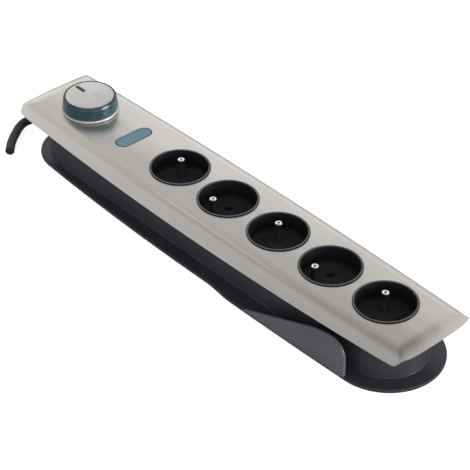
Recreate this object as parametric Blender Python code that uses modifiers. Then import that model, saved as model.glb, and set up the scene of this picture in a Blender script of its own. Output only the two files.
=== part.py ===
"""Desk power strip with five round wells, a rotary switch and a pilot lens.

Frame: the origin is on the desk under the middle of the foot, +X runs along the strip away
from the switch, +Y to the far side and +Z up. Sizes below are in millimetres.
"""
import math

import bmesh
import bpy
from mathutils import Matrix, Vector

MM = 0.001
GAP = 0.3                       # clearance kept between neighbouring pieces

# Top plate: a barrel-shaped sheet whose margins bend down
PLATE_TOP = 39.8
PLATE_THICK = 0.9
PLATE_HALF_LENGTH = 190.9
PLATE_HALF_WIDTH = 39.3
SIDE_BOW = 5.1                  # how much narrower the plate is near its ends
END_BOW = 0.9                   # gentle bulge of the ends
CORNER_CUT = 4.0                # how far the ends fall back at the very corners
CORNER_POWER = 10
BOW_STATION = 185.0
SIDE_BEND_START = 25.0
SIDE_BEND_TAPER = 3.3
SIDE_BEND_RADIUS = 12.0
SIDE_BEND_ANGLE = math.radians(45)
END_BEND_WIDTH = 12.0
END_BEND_RADIUS = 20.0
END_BEND_ANGLE = math.radians(30)
MITRE_POWER = 5.0

# Upper housing: the moulded carrier under the plate
HOUSING_THICK = 2.0
SHEET_GAP = 0.7                 # room between the housing and the plate's bent margins
HOUSING_WIDTH_SHARE = 0.945
HOUSING_LENGTH_SHARE = 0.985
BOSS_RADIUS = 3.5
BOSS_Y = 20.5
BOSS_BOTTOM = 7.8

# Foot tub: a thin flange, a narrower waist and a guide wall on each side
FOOT_BOTTOM = 0.0
FLANGE_TOP = 2.6
TUB_FLOOR = 2.8
WAIST_TOP = 33.6
WAIST_RADIUS = 27.5
WAIST_WALL = 2.2
WAIST_LEFT = -151.3
WAIST_RIGHT = 148.5
FOOT_LEFT = -155.3
FOOT_LEFT_RADIUS = 32.5
FOOT_RIGHT = 148.5
FOOT_RIGHT_RADIUS = 38.45
GUIDE_THICK = 2.0
GUIDE_START = 51.5
GUIDE_RAMP = math.radians(20.2)
GUIDE_STRAIGHT_END = 118.0
GUIDE_CREST = 136.5
GUIDE_END = 148.5

# Wells and their contacts
SOCKET_PITCH = 48.85
SOCKET_FIRST = -49.7
SOCKET_COUNT = 5
RIM_TOP = 40.6
RIM_RADIUS = 21.2
WELL_RADIUS = 19.4
WELL_WALL = 1.0
WELL_FLOOR = 25.5
WELL_BOTTOM = 23.3
PIN_SPREAD = 9.5
EARTH_OFFSET = 10.0
PIN_RADIUS = 2.4
PIN_TOP = 39.9
SHUTTER_TOP = 23.0
SHUTTER_BOTTOM = 21.0
SHUTTER_TRAVEL = 5.4
GUIDE_PLATE_TOP = 20.7
GUIDE_PLATE_BOTTOM = 19.3
EARTH_BAR_TOP = 19.0
EARTH_BAR_BOTTOM = 18.2
BAR_TOP = 17.5
BAR_BOTTOM = 9.5
BAR_INNER_Y = 11.0
BAR_OUTER_Y = 11.8
FORK_TIP_Y = 4.2

# Rotary switch and pilot light
KNOB_X = -147.2
KNOB_TOP = 51.9
LENS_X = -99.0
LENS_HALF_LENGTH = 14.9
LENS_HALF_WIDTH = 5.65
SPINDLE_RADIUS = 3.0
BUSHING_RADIUS = 6.8

# Mains cable
CABLE_RADIUS = 3.3
CABLE_Z = 9.5
SHEATH_END_X = -163.5

ROUND = 24                      # segments of the large round pieces
FINE = 12                       # segments of the small round pieces


# ---------------------------------------------------------------- scene and helpers

def clear_scene():
    for obj in list(bpy.data.objects):
        bpy.data.objects.remove(obj, do_unlink=True)


def new_collection(name):
    collection = bpy.data.collections.new(name)
    bpy.context.scene.collection.children.link(collection)
    return collection


def make_material(name, colour, roughness, metallic=0.0, alpha=1.0):
    material = bpy.data.materials.new(name)
    material.use_nodes = True
    shader = material.node_tree.nodes["Principled BSDF"]
    shader.inputs["Base Color"].default_value = (*colour, 1.0)
    shader.inputs["Roughness"].default_value = roughness
    shader.inputs["Metallic"].default_value = metallic
    shader.inputs["Alpha"].default_value = alpha
    return material


def add_object(name, data, collection, material=None):
    obj = bpy.data.objects.new(name, data)
    collection.objects.link(obj)
    if material is not None:
        data.materials.append(material)
    return obj


def shade(mesh, angle=35):
    mesh.shade_smooth()
    mesh.set_sharp_from_angle(angle=math.radians(angle))


def bake(obj):
    """Mesh of the object with its modifiers applied, in the object's own space."""
    bpy.context.view_layer.update()
    depsgraph = bpy.context.evaluated_depsgraph_get()
    return bpy.data.meshes.new_from_object(obj.evaluated_get(depsgraph))


def weld(mesh):
    work = bmesh.new()
    work.from_mesh(mesh)
    bmesh.ops.remove_doubles(work, verts=work.verts, dist=1e-6)
    bmesh.ops.recalc_face_normals(work, faces=work.faces)
    work.to_mesh(mesh)
    work.free()


def replace_with_mesh(obj, collection, material=None):
    """Swap an object for a plain mesh object with its modifiers applied."""
    name = obj.name
    matrix = obj.matrix_world.copy()
    mesh = bake(obj)
    bpy.data.objects.remove(obj, do_unlink=True)
    weld(mesh)
    mesh.materials.clear()
    solid = add_object(name, mesh, collection, material)
    solid.matrix_world = matrix
    return solid


def lathe(name, profile, collection, material=None, segments=ROUND, ring=False):
    """Turned piece: profile points are (radius, height), down the outer side."""
    work = bmesh.new()
    verts = [work.verts.new((r * MM, 0.0, z * MM)) for r, z in profile]
    for first, second in zip(verts, verts[1:]):
        work.edges.new((first, second))
    if ring:
        work.edges.new((verts[-1], verts[0]))
    mesh = bpy.data.meshes.new(name)
    work.to_mesh(mesh)
    work.free()
    obj = add_object(name, mesh, collection, material)
    screw = obj.modifiers.new("Turn", "SCREW")
    screw.steps = segments
    screw.render_steps = segments
    screw.use_merge_vertices = True
    screw.merge_threshold = 1e-6
    return obj


def flat_solid(name, loops, low, high, collection, material=None, upright=False):
    """Flat outline with thickness: loops[0] is the outside and the rest are holes.

    upright stands the outline up, so its second coordinate is height and low to high is Y.
    """
    curve = bpy.data.curves.new(name, "CURVE")
    curve.dimensions = "2D"
    curve.fill_mode = "BOTH"
    curve.extrude = (high - low) / 2 * MM
    for loop in loops:
        spline = curve.splines.new("POLY")
        spline.points.add(len(loop) - 1)
        for point, (a, b) in zip(spline.points, loop):
            point.co = (a * MM, b * MM, 0.0, 1.0)
        spline.use_cyclic_u = True
    obj = add_object(name, curve, collection)
    middle = (high + low) / 2 * MM
    if upright:
        obj.matrix_world = Matrix.Translation((0, middle, 0)) @ Matrix.Rotation(math.pi / 2, 4, "X")
    else:
        obj.matrix_world = Matrix.Translation((0, 0, middle))
    return replace_with_mesh(obj, collection, material)


def wire(name, points, radius, collection, material=None):
    """Round wire or cable along a polyline."""
    curve = bpy.data.curves.new(name, "CURVE")
    curve.dimensions = "3D"
    curve.bevel_depth = radius * MM
    curve.bevel_resolution = 2
    curve.use_fill_caps = True
    spline = curve.splines.new("POLY")
    spline.points.add(len(points) - 1)
    for point, place in zip(spline.points, points):
        point.co = (*(value * MM for value in place), 1.0)
    obj = add_object(name, curve, collection)
    return replace_with_mesh(obj, collection, material)


def box(name, low, high, collection, material=None):
    work = bmesh.new()
    bmesh.ops.create_cube(work, size=1.0)
    size = [(h - l) * MM for l, h in zip(low, high)]
    centre = [(h + l) / 2 * MM for l, h in zip(low, high)]
    bmesh.ops.scale(work, vec=size, verts=work.verts)
    mesh = bpy.data.meshes.new(name)
    work.to_mesh(mesh)
    work.free()
    obj = add_object(name, mesh, collection, material)
    obj.location = centre
    return obj


def rod(name, x, y, radius, low, high, collection, material=None, segments=FINE):
    """Upright cylinder."""
    work = bmesh.new()
    bmesh.ops.create_cone(work, cap_ends=True, segments=segments, radius1=radius * MM,
                          radius2=radius * MM, depth=(high - low) * MM)
    mesh = bpy.data.meshes.new(name)
    work.to_mesh(mesh)
    work.free()
    obj = add_object(name, mesh, collection, material)
    obj.location = (x * MM, y * MM, (high + low) / 2 * MM)
    return obj


def combine(obj, tool, operation):
    """Boolean with a helper solid, which stays in the scene as a wire outline."""
    tool.hide_render = True
    tool.display_type = "WIRE"
    step = obj.modifiers.new(operation.title(), "BOOLEAN")
    step.operation = operation
    step.object = tool


def cut(obj, tool):
    combine(obj, tool, "DIFFERENCE")


def join(obj, tool):
    combine(obj, tool, "UNION")


def arc(cx, cy, radius, start, end, count):
    """Points along an arc, angles in degrees, both ends included."""
    points = []
    for i in range(count + 1):
        angle = math.radians(start + (end - start) * i / count)
        points.append((cx + radius * math.cos(angle), cy + radius * math.sin(angle)))
    return points


def circle(cx, cy, radius, count=FINE, start=0):
    return arc(cx, cy, radius, start, start + 360, count)[:-1]


def stadium(left, right, radius, count=11):
    return arc(left, 0, radius, 90, 270, count) + arc(right, 0, radius, -90, 90, count)


def pill(cx, half_width, half_length, count=7):
    """Pill outline that is long in Y."""
    straight = half_length - half_width
    return (arc(cx, straight, half_width, 0, 180, count)
            + arc(cx, -straight, half_width, 180, 360, count))


def smooth_path(points, steps):
    """Catmull-Rom path through the points."""
    spots = [Vector(p) for p in points]
    spots = [2 * spots[0] - spots[1]] + spots + [2 * spots[-1] - spots[-2]]
    path = []
    for i in range(1, len(spots) - 2):
        p0, p1, p2, p3 = spots[i - 1:i + 3]
        for k in range(steps):
            t = k / steps
            path.append(0.5 * ((2 * p1) + (p2 - p0) * t + (2 * p0 - 5 * p1 + 4 * p2 - p3) * t * t
                               + (3 * p1 - p0 - 3 * p2 + p3) * t ** 3))
    path.append(spots[-2])
    return [tuple(p) for p in path]


# ---------------------------------------------------------------- shape of the top plate

def plate_half_width(x):
    return PLATE_HALF_WIDTH - SIDE_BOW * (x / BOW_STATION) ** 2


def plate_half_length(share):
    """Half length at a share of the half width, 0 on the centreline and 1 at the edge."""
    return PLATE_HALF_LENGTH - END_BOW * share ** 2 - CORNER_CUT * abs(share) ** CORNER_POWER


def bend_drop(distance, radius, angle):
    """Height lost this far past the start of a bend: an arc and then a straight slope."""
    if distance <= 0:
        return 0.0
    arc_run = radius * math.sin(angle)
    if distance < arc_run:
        return radius - math.sqrt(radius ** 2 - distance ** 2)
    return radius * (1 - math.cos(angle)) + (distance - arc_run) * math.tan(angle)


def plate_height(x, y):
    side_start = SIDE_BEND_START - SIDE_BEND_TAPER * (x / BOW_STATION) ** 2
    side = bend_drop(abs(y) - side_start, SIDE_BEND_RADIUS, SIDE_BEND_ANGLE)
    share = min(1.0, abs(y) / plate_half_width(x))
    end_start = PLATE_HALF_LENGTH - END_BOW * share ** 2 - END_BEND_WIDTH
    end = bend_drop(abs(x) - end_start, END_BEND_RADIUS, END_BEND_ANGLE)
    return PLATE_TOP - (side ** MITRE_POWER + end ** MITRE_POWER) ** (1 / MITRE_POWER)


def plate_point(x, y, depth):
    """Point this far below the plate's top face, measured square to the face."""
    step = 0.05
    slope_x = (plate_height(x + step, y) - plate_height(x - step, y)) / (2 * step)
    slope_y = (plate_height(x, y + step) - plate_height(x, y - step)) / (2 * step)
    normal = Vector((-slope_x, -slope_y, 1.0)).normalized()
    return Vector((x, y, plate_height(x, y))) - normal * depth


def bent_sheet(name, depth, thickness, width_share, length_share, collection, material):
    """Open grid that follows the plate, thickened downwards."""
    side_stations = [0.0, 0.56, 0.66, 0.75, 0.84, 0.93, 1.0]
    end_stations = [0.0, 0.3, 0.6, 0.82, 0.945, 0.975, 1.0]
    shares = [-s for s in reversed(side_stations[1:])] + side_stations
    runs = [-s for s in reversed(end_stations[1:])] + end_stations
    work = bmesh.new()
    rows = []
    for share in shares:
        row = []
        for run in runs:
            x = run * length_share * plate_half_length(share * width_share)
            y = share * width_share * plate_half_width(x)
            row.append(work.verts.new(plate_point(x, y, depth) * MM))
        rows.append(row)
    for low, high in zip(rows, rows[1:]):
        for i in range(len(runs) - 1):
            work.faces.new((low[i], low[i + 1], high[i + 1], high[i]))
    mesh = bpy.data.meshes.new(name)
    work.to_mesh(mesh)
    work.free()
    obj = add_object(name, mesh, collection, material)
    solid = obj.modifiers.new("Thickness", "SOLIDIFY")
    solid.thickness = thickness * MM
    solid.offset = -1.0
    solid.use_even_offset = True
    return obj


def socket_centres():
    return [SOCKET_FIRST + SOCKET_PITCH * i for i in range(SOCKET_COUNT)]


def socket_turn(index):
    """The wells are turned 45 degrees, alternately one way and the other."""
    return math.radians(45 if index % 2 == 0 else 135)


def turned(x, y, angle):
    return (x * math.cos(angle) - y * math.sin(angle), x * math.sin(angle) + y * math.cos(angle))


def cut_plate_openings(obj, well_radius, bushing_radius, lens_gap, cutters):
    for i, x in enumerate(socket_centres()):
        cut(obj, rod(f"{obj.name}_well_cutter_{i + 1}", x, 0, well_radius, 30, 50, cutters,
                     segments=ROUND))
    cut(obj, rod(f"{obj.name}_bushing_cutter", KNOB_X, 0, bushing_radius, 30, 50, cutters))
    lens = pill(LENS_X, LENS_HALF_WIDTH + lens_gap, LENS_HALF_LENGTH + lens_gap)
    cut(obj, flat_solid(f"{obj.name}_lens_cutter", [lens], 30, 50, cutters))


# ---------------------------------------------------------------- casing

SCREW_STATIONS = [SOCKET_FIRST - 72.5, SOCKET_FIRST + SOCKET_PITCH / 2,
                  SOCKET_FIRST + SOCKET_PITCH * 3.5]
FOOT_PLACES = [(x, y) for x in (-140.0, 140.0) for y in (-14.0, 14.0)]
CLAMP_X = -168.0
CLAMP_Y = 7.6


def screw_places():
    return [(x, side * BOSS_Y) for x in SCREW_STATIONS for side in (-1, 1)]


def build_top_plate(parts, cutters, material):
    plate = bent_sheet("top_plate", 0.0, PLATE_THICK, 1.0, 1.0, parts, material)
    cut_plate_openings(plate, WELL_RADIUS + WELL_WALL + GAP, 9.3, 0.45, cutters)
    shade(plate.data)


def build_upper_housing(parts, cutters, material):
    depth = PLATE_THICK + SHEET_GAP
    housing = bent_sheet("upper_housing", depth, HOUSING_THICK, HOUSING_WIDTH_SHARE,
                         HOUSING_LENGTH_SHARE, parts, material)
    lip_outer = WAIST_RADIUS - WAIST_WALL - GAP
    lip = flat_solid("housing_lip", [stadium(WAIST_LEFT, WAIST_RIGHT, lip_outer),
                                     stadium(WAIST_LEFT, WAIST_RIGHT, lip_outer - 1.6)],
                     31.0, 37.2, cutters)
    join(housing, lip)
    for i, (x, y) in enumerate(screw_places()):
        join(housing, rod(f"housing_boss_{i + 1}", x, y, BOSS_RADIUS, BOSS_BOTTOM, 37.2, cutters))
    for i, (x, y) in enumerate(screw_places()):
        cut(housing, rod(f"pilot_hole_{i + 1}", x, y, 2.05, BOSS_BOTTOM - 2, 19.0, cutters, segments=12))
    cut_plate_openings(housing, WELL_RADIUS + WELL_WALL + GAP, 9.3, 0.45, cutters)
    shade(housing.data)


def foot_half_width(x):
    """Half width of the foot: a barrel curve that steps out under the guide walls."""
    barrel = 37.8 - 2.2e-4 * (x + 2.0) ** 2
    wide = 39.95 - 1.25e-4 * (x - 38.0) ** 2
    blend = min(1.0, max(0.0, (x - 17.0) / 28.0))
    blend = blend * blend * (3 - 2 * blend)
    return barrel + (wide - barrel) * blend


def foot_outline():
    stations = [FOOT_LEFT + (FOOT_RIGHT - FOOT_LEFT) * i / 18 for i in range(19)]
    near = [(x, -foot_half_width(x)) for x in stations[1:-1]]
    far = [(x, foot_half_width(x)) for x in reversed(stations[1:-1])]
    return (arc(FOOT_LEFT, 0, FOOT_LEFT_RADIUS, 90, 270, 11) + near
            + arc(FOOT_RIGHT, 0, FOOT_RIGHT_RADIUS, -90, 90, 13) + far)


def guide_profile():
    """Side view of a guide wall: a ramp, a flattening crest and a round corner."""
    base = FOOT_BOTTOM + 0.4
    ramp_end = (GUIDE_STRAIGHT_END, (GUIDE_STRAIGHT_END - GUIDE_START) * math.tan(GUIDE_RAMP))
    crest_radius = (GUIDE_CREST - GUIDE_STRAIGHT_END) / math.sin(GUIDE_RAMP)
    crest_centre = ramp_end[1] - crest_radius * math.cos(GUIDE_RAMP)
    crest = arc(GUIDE_CREST, crest_centre, crest_radius, 90 + math.degrees(GUIDE_RAMP), 90, 4)
    crest_height = crest[-1][1]
    corner_radius = GUIDE_END - GUIDE_CREST
    corner = arc(GUIDE_CREST, crest_height - corner_radius, corner_radius, 90, 0, 6)
    start = GUIDE_START + base / math.tan(GUIDE_RAMP)
    return [(GUIDE_END, base), (start, base)] + crest + corner[1:]


def build_guide_walls(cutters):
    """Pair of guide walls that follow the foot's outline."""
    stations = [GUIDE_START - 2 + (GUIDE_END + 2 - GUIDE_START) * i / 8 for i in range(9)]
    walls = []
    for side in (-1, 1):
        outer = [(x, side * (foot_half_width(x) - 0.15)) for x in stations]
        inner = [(x, side * (foot_half_width(x) - GUIDE_THICK)) for x in reversed(stations)]
        wall = flat_solid(f"guide_wall_{'near' if side < 0 else 'far'}", [outer + inner],
                          FOOT_BOTTOM, 32.0, cutters)
        profile = flat_solid(f"guide_profile_{'near' if side < 0 else 'far'}", [guide_profile()],
                             -45.0, 45.0, cutters, upright=True)
        combine(wall, profile, "INTERSECT")
        walls.append(wall)
    return walls


def build_foot_tub(parts, cutters, material):
    tub = flat_solid("foot_tub", [foot_outline()], FOOT_BOTTOM, FLANGE_TOP, parts, material)
    join(tub, flat_solid("waist", [stadium(WAIST_LEFT, WAIST_RIGHT, WAIST_RADIUS)],
                         FOOT_BOTTOM + 0.5, WAIST_TOP, cutters))
    for wall in build_guide_walls(cutters):
        join(tub, wall)
    cut(tub, flat_solid("tub_cavity", [stadium(WAIST_LEFT, WAIST_RIGHT, WAIST_RADIUS - WAIST_WALL)],
                        TUB_FLOOR, WAIST_TOP + 5, cutters))
    for i, (x, y) in enumerate(screw_places()):
        join(tub, rod(f"pedestal_{i + 1}", x, y, 4.5, 2.0, BOSS_BOTTOM - GAP, cutters))
    for i, x in enumerate((-65.5, 23.57, 72.42, 161.5)):
        for side in (-1, 1):
            join(tub, rod(f"guide_post_{i}_{side}", x, side * 14.3, 1.9, 2.0,
                          GUIDE_PLATE_BOTTOM - GAP, cutters, segments=8))
    for side in (-1, 1):
        join(tub, rod(f"board_post_{side}", LENS_X, side * 7.5, 2.0, 2.0, 24.8, cutters, segments=8))
        join(tub, rod(f"clamp_post_{side}", CLAMP_X, side * CLAMP_Y, 2.9, 2.0, 12.8, cutters,
                      segments=12))
    join(tub, box("cable_saddle", (CLAMP_X - 2.5, -3.0, 2.0),
                  (CLAMP_X + 2.5, 3.0, CABLE_Z - CABLE_RADIUS - GAP), cutters))
    for i, (x, y) in enumerate(screw_places()):
        cut(tub, rod(f"screw_hole_{i + 1}", x, y, 2.05, 0, 12, cutters, segments=12))
        cut(tub, rod(f"head_hole_{i + 1}", x, y, 3.6, -1, 4.2, cutters))
    for side in (-1, 1):
        cut(tub, rod(f"clamp_hole_{side}", CLAMP_X, side * CLAMP_Y, 1.6, 4.0, 15, cutters,
                     segments=10))
    for i, (x, y) in enumerate(FOOT_PLACES):
        cut(tub, rod(f"foot_pocket_{i + 1}", x, y, 6.3, -1, 1.8, cutters))
    cable_hole = rod("cable_hole", 0, 0, 5.3, -8, 8, cutters)
    cable_hole.matrix_world = (Matrix.Translation((-178.0 * MM, 0, CABLE_Z * MM))
                               @ Matrix.Rotation(math.pi / 2, 4, "Y"))
    cut(tub, cable_hole)
    shade(tub.data)


def build_screws(parts, cutters, material):
    """Pan-head screws driven up through the foot, all from one mesh."""
    master = lathe("screw_master", [(0, 18.0), (1.0, 17.0), (1.75, 15.5), (1.75, 3.9), (3.2, 3.9),
                                    (3.2, 2.4), (2.5, 1.6), (0, 1.6)], cutters, segments=8)
    for i, size in enumerate(((3.6, 0.9), (0.9, 3.6))):
        half = [value / 2 for value in size]
        cut(master, box(f"cross_slot_{i}", (-half[0], -half[1], 0.5), (half[0], half[1], 2.8), cutters))
    mesh = bake(master)
    mesh.materials.append(material)
    shade(mesh)
    for i, (x, y) in enumerate(screw_places()):
        screw = add_object(f"housing_screw_{i + 1}", mesh, parts)
        screw.location = (x * MM, y * MM, 0)
    clamp_master = lathe("clamp_screw_master", [(0, 18.0), (1.9, 17.7), (2.6, 16.9), (2.6, 15.8),
                                                (1.3, 15.8), (1.3, 6.0), (0, 5.0)],
                         cutters, segments=8)
    cut(clamp_master, box("slot", (-3, -0.4, 17.2), (3, 0.4, 19), cutters))
    clamp_mesh = bake(clamp_master)
    clamp_mesh.materials.append(material)
    shade(clamp_mesh)
    for i, side in enumerate((-1, 1)):
        screw = add_object(f"clamp_screw_{i + 1}", clamp_mesh, parts)
        screw.location = (CLAMP_X * MM, side * CLAMP_Y * MM, 0)
    for master_obj in (master, clamp_master):
        master_obj.hide_render = True
        master_obj.display_type = "WIRE"


def build_feet(parts, material):
    for i, (x, y) in enumerate(FOOT_PLACES):
        foot = lathe(f"rubber_foot_{i + 1}", [(0, 1.5), (6.0, 1.5), (6.0, 0.3), (5.7, 0), (0, 0)],
                     parts, material, segments=FINE)
        foot.location = (x * MM, y * MM, 0)
        shade(foot.data)


# ---------------------------------------------------------------- sockets

def build_wells(parts, cutters, material):
    outer = WELL_RADIUS + WELL_WALL
    profile = [(0, WELL_FLOOR), (WELL_RADIUS - 0.4, WELL_FLOOR), (WELL_RADIUS, RIM_TOP - 0.6),
               (WELL_RADIUS + 0.5, RIM_TOP), (RIM_RADIUS - 0.4, RIM_TOP), (RIM_RADIUS, RIM_TOP - 0.4),
               (RIM_RADIUS, PLATE_TOP + GAP), (outer, PLATE_TOP + GAP), (outer, WELL_BOTTOM),
               (0, WELL_BOTTOM)]
    master = lathe("well_master", profile, cutters)
    master.hide_render = True
    master.display_type = "WIRE"
    for i, side in enumerate((-1, 1)):
        cut(master, rod(f"pin_hole_{i}", side * PIN_SPREAD, 0, 2.8, 20, 30, cutters))
    cut(master, rod("earth_pin_hole", 0, EARTH_OFFSET, PIN_RADIUS + GAP, 20, 30, cutters))
    mesh = bake(master)
    mesh.materials.append(material)
    shade(mesh)
    for i, x in enumerate(socket_centres()):
        well = add_object(f"socket_well_{i + 1}", mesh, parts)
        well.location = (x * MM, 0, 0)
        well.rotation_euler = (0, 0, socket_turn(i))


def build_earth_pins(parts, material):
    for i, x in enumerate(socket_centres()):
        pin = lathe(f"earth_pin_{i + 1}", [(0, PIN_TOP), (1.95, PIN_TOP), (PIN_RADIUS, PIN_TOP - 0.45),
                                           (PIN_RADIUS, 19.3), (1.2, 19.3), (1.2, 17.0), (0, 17.0)],
                    parts, material, segments=FINE)
        dx, dy = turned(0, EARTH_OFFSET, socket_turn(i))
        pin.location = ((x + dx) * MM, dy * MM, 0)
        shade(pin.data)


def build_shutters(parts, material):
    """Sliding shutters whose windows line up with the pin holes when pushed back."""
    outline = [(-13.5, -4.0), (-3.6, -4.0), (6.5, -8.3), (7.0, -7.3), (-0.6, -4.0), (13.5, -4.0),
               (13.5, 8.6), (3.0, 8.6), (3.0, 6.8), (-3.0, 6.8), (-3.0, 8.6), (-13.5, 8.6)]
    windows = [circle(side * PIN_SPREAD, SHUTTER_TRAVEL, 2.9, 10, start=8) for side in (-1, 1)]
    for i, x in enumerate(socket_centres()):
        shutter = flat_solid(f"safety_shutter_{i + 1}", [outline] + windows, SHUTTER_BOTTOM,
                             SHUTTER_TOP, parts, material)
        height = shutter.location.z
        shutter.location = (x * MM, 0, height)
        shutter.rotation_euler = (0, 0, socket_turn(i))


def build_shutter_guide(parts, cutters, material):
    """Strip under the wells that holds the shutters up, with pegs against the well floors."""
    low_x = SOCKET_FIRST - 18.5
    high_x = SOCKET_FIRST + SOCKET_PITCH * 4 + 18.5
    outline = [(low_x, -16.4), (high_x, -16.4), (high_x, 16.4), (low_x, 16.4)]
    holes = []
    for i, x in enumerate(socket_centres()):
        for place in ((-PIN_SPREAD, 0), (PIN_SPREAD, 0), (0, EARTH_OFFSET)):
            dx, dy = turned(*place, socket_turn(i))
            holes.append(circle(x + dx, dy, 3.2, 10, start=11 + 5 * len(holes)))
    guide = flat_solid("shutter_guide", [outline] + holes, GUIDE_PLATE_BOTTOM, GUIDE_PLATE_TOP,
                       parts, material)
    for i, x in enumerate(socket_centres()):
        for side in (-1, 1):
            join(guide, rod(f"guide_peg_{i}_{side}", x + side * 15.9, 0, 1.2, GUIDE_PLATE_TOP - 0.7,
                            SHUTTER_TOP, cutters, segments=8))


def bar_outline(side, left_x, right_x):
    """Comb in plan: a straight strip with a two-leaf fork at each pin hole on its side."""
    inner = []
    for i, x in enumerate(socket_centres()):
        hole = x + side * PIN_SPREAD * math.sqrt(0.5) * (1 if i % 2 == 0 else -1)
        for leaf in (-1, 1):
            near = hole + leaf * 2.7
            far = hole + leaf * 3.5
            a, b = min(near, far), max(near, far)
            inner += [(a, side * BAR_INNER_Y), (a, side * FORK_TIP_Y), (b, side * FORK_TIP_Y),
                      (b, side * BAR_INNER_Y)]
    return ([(left_x, side * BAR_OUTER_Y), (left_x, side * BAR_INNER_Y)] + inner
            + [(right_x, side * BAR_INNER_Y), (right_x, side * BAR_OUTER_Y)])


def build_busbars(parts, material):
    left_x = -124.0
    right_x = SOCKET_FIRST + SOCKET_PITCH * 4 + 14.0
    for name, side in (("live_busbar", 1), ("neutral_busbar", -1)):
        flat_solid(name, [bar_outline(side, left_x, right_x)], BAR_BOTTOM, BAR_TOP, parts, material)
    reach = EARTH_OFFSET * math.sqrt(0.5)
    upper = []
    lower = []
    holes = []
    for i, x in enumerate(socket_centres()):
        tab = [(x - reach - 2.6, 2.0), (x - reach - 2.6, 9.8), (x - reach + 2.6, 9.8),
               (x - reach + 2.6, 2.0)]
        if i % 2 == 0:
            upper += tab
        else:
            lower += [(a, -b) for a, b in tab]
        holes.append(circle(x - reach, reach if i % 2 == 0 else -reach, 1.5, 8, start=9 + 4 * i))
    outline = [(-72.0, -2.0), (-72.0, 2.0)] + upper + [(150.0, 2.0), (150.0, -2.0)] + lower[::-1]
    flat_solid("earth_busbar", [outline] + holes, EARTH_BAR_BOTTOM, EARTH_BAR_TOP, parts, material)


# ---------------------------------------------------------------- rotary switch

def build_knob(parts, cutters, blue, steel, black, silver):
    axis = bpy.data.objects.new("knob_axis", None)
    parts.objects.link(axis)
    axis.location = (KNOB_X * MM, 0, 0)
    base = lathe("knob_base_ring", [(9.6, 42.3), (19.6, 42.3), (20.1, 41.9), (20.4, 40.1), (9.6, 40.1)],
                 parts, silver, ring=True)
    base.location = (KNOB_X * MM, 0, 0)
    shade(base.data)
    ring = lathe("knob_ring", [(17.5, 50.7), (17.5, 51.6), (17.9, KNOB_TOP), (18.5, 51.5),
                               (19.1, 50.0), (20.1, 42.6), (18.3, 42.6), (17.2, 49.1), (5.5, 49.1),
                               (5.5, 43.0), (SPINDLE_RADIUS + GAP, 43.0), (SPINDLE_RADIUS + GAP, 50.7)],
                 parts, blue, ring=True)
    ring.parent = axis
    shade(ring.data)
    disc = lathe("knob_disc", [(0, 51.8), (16.9, 51.8), (17.2, 51.5), (17.2, 51.0), (0, 51.0)],
                 parts, steel)
    disc.parent = axis
    cut(disc, box("pointer_slot", (-15.5, -1.6, 50), (-5.5, 1.6, 54), cutters))
    bpy.data.objects["pointer_slot"].location.x += KNOB_X * MM
    shade(disc.data)
    pointer = box("knob_pointer", (-15.2, -1.3, 51.0), (-5.8, 1.3, 51.85), parts, black)
    pointer.parent = axis
    spindle = lathe("switch_spindle", [(0, 50.4), (2.6, 50.4), (SPINDLE_RADIUS, 50.0),
                                       (SPINDLE_RADIUS, 20.0), (0, 20.0)], parts, steel,
                    segments=FINE)
    spindle.parent = axis
    shade(spindle.data)
    return axis


def build_switch(parts, cutters, axis, plastic, white, brass):
    half = 13.5
    body = box("switch_body", (KNOB_X - half, -half, 14.0), (KNOB_X + half, half, 33.5), parts, plastic)
    join(body, rod("switch_bushing", KNOB_X, 0, BUSHING_RADIUS, 32.5, 42.0, cutters))
    cut(body, rod("rotor_cavity", KNOB_X, 0, 11.6, 12.0, 30.5, cutters, segments=24))
    cut(body, rod("spindle_bore", KNOB_X, 0, SPINDLE_RADIUS + GAP, 29.0, 45.0, cutters))
    notches = 4
    count = 32
    outline = []
    for i in range(count):
        angle = 2 * math.pi * i / count
        radius = 9.6 - 0.9 * max(0.0, math.cos(notches * angle)) ** 4
        outline.append((radius * math.cos(angle), radius * math.sin(angle)))
    rotor = flat_solid("switch_rotor", [outline, circle(0, 0, SPINDLE_RADIUS + GAP)], 25.0, 30.2,
                       parts, white)
    rotor.parent = axis
    shape = arc(0, 5.0, 4.8, 0, 180, 6) + arc(0, -5.0, 4.8, 180, 360, 6)
    wiper = flat_solid("wiper_contact", [shape, circle(0, 0, SPINDLE_RADIUS + GAP)], 23.6, 24.7,
                       parts, brass)
    wiper.parent = axis
    for name, side in (("switch_terminal_in", -1), ("switch_terminal_out", 1)):
        bracket = [(KNOB_X + side * 10.0, 11.5), (KNOB_X + side * 9.0, 11.5),
                   (KNOB_X + side * 9.0, 22.3), (KNOB_X + side * 5.2, 22.3),
                   (KNOB_X + side * 5.2, 23.3), (KNOB_X + side * 10.0, 23.3)]
        flat_solid(name, [bracket], -2.2, 2.2, parts, brass, upright=True)


def build_pilot(parts, lens_material, lamp_material, board_material):
    lens = flat_solid("pilot_lens", [pill(LENS_X, LENS_HALF_WIDTH, LENS_HALF_LENGTH)], 36.0,
                      PLATE_TOP + 0.2, parts, lens_material)
    shade(lens.data)
    lamp = lathe("pilot_lamp", [(0, 34.0), (1.4, 33.6), (2.5, 31.8), (2.5, 28.2), (2.9, 28.2),
                                (2.9, 27.1), (0, 27.1)], parts, lamp_material, segments=FINE)
    lamp.location = (LENS_X * MM, 0, 0)
    shade(lamp.data)
    box("pilot_board", (LENS_X - 5.0, -12.0, 25.1), (LENS_X + 5.0, 12.0, 26.8), parts, board_material)


# ---------------------------------------------------------------- mains cable

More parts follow.
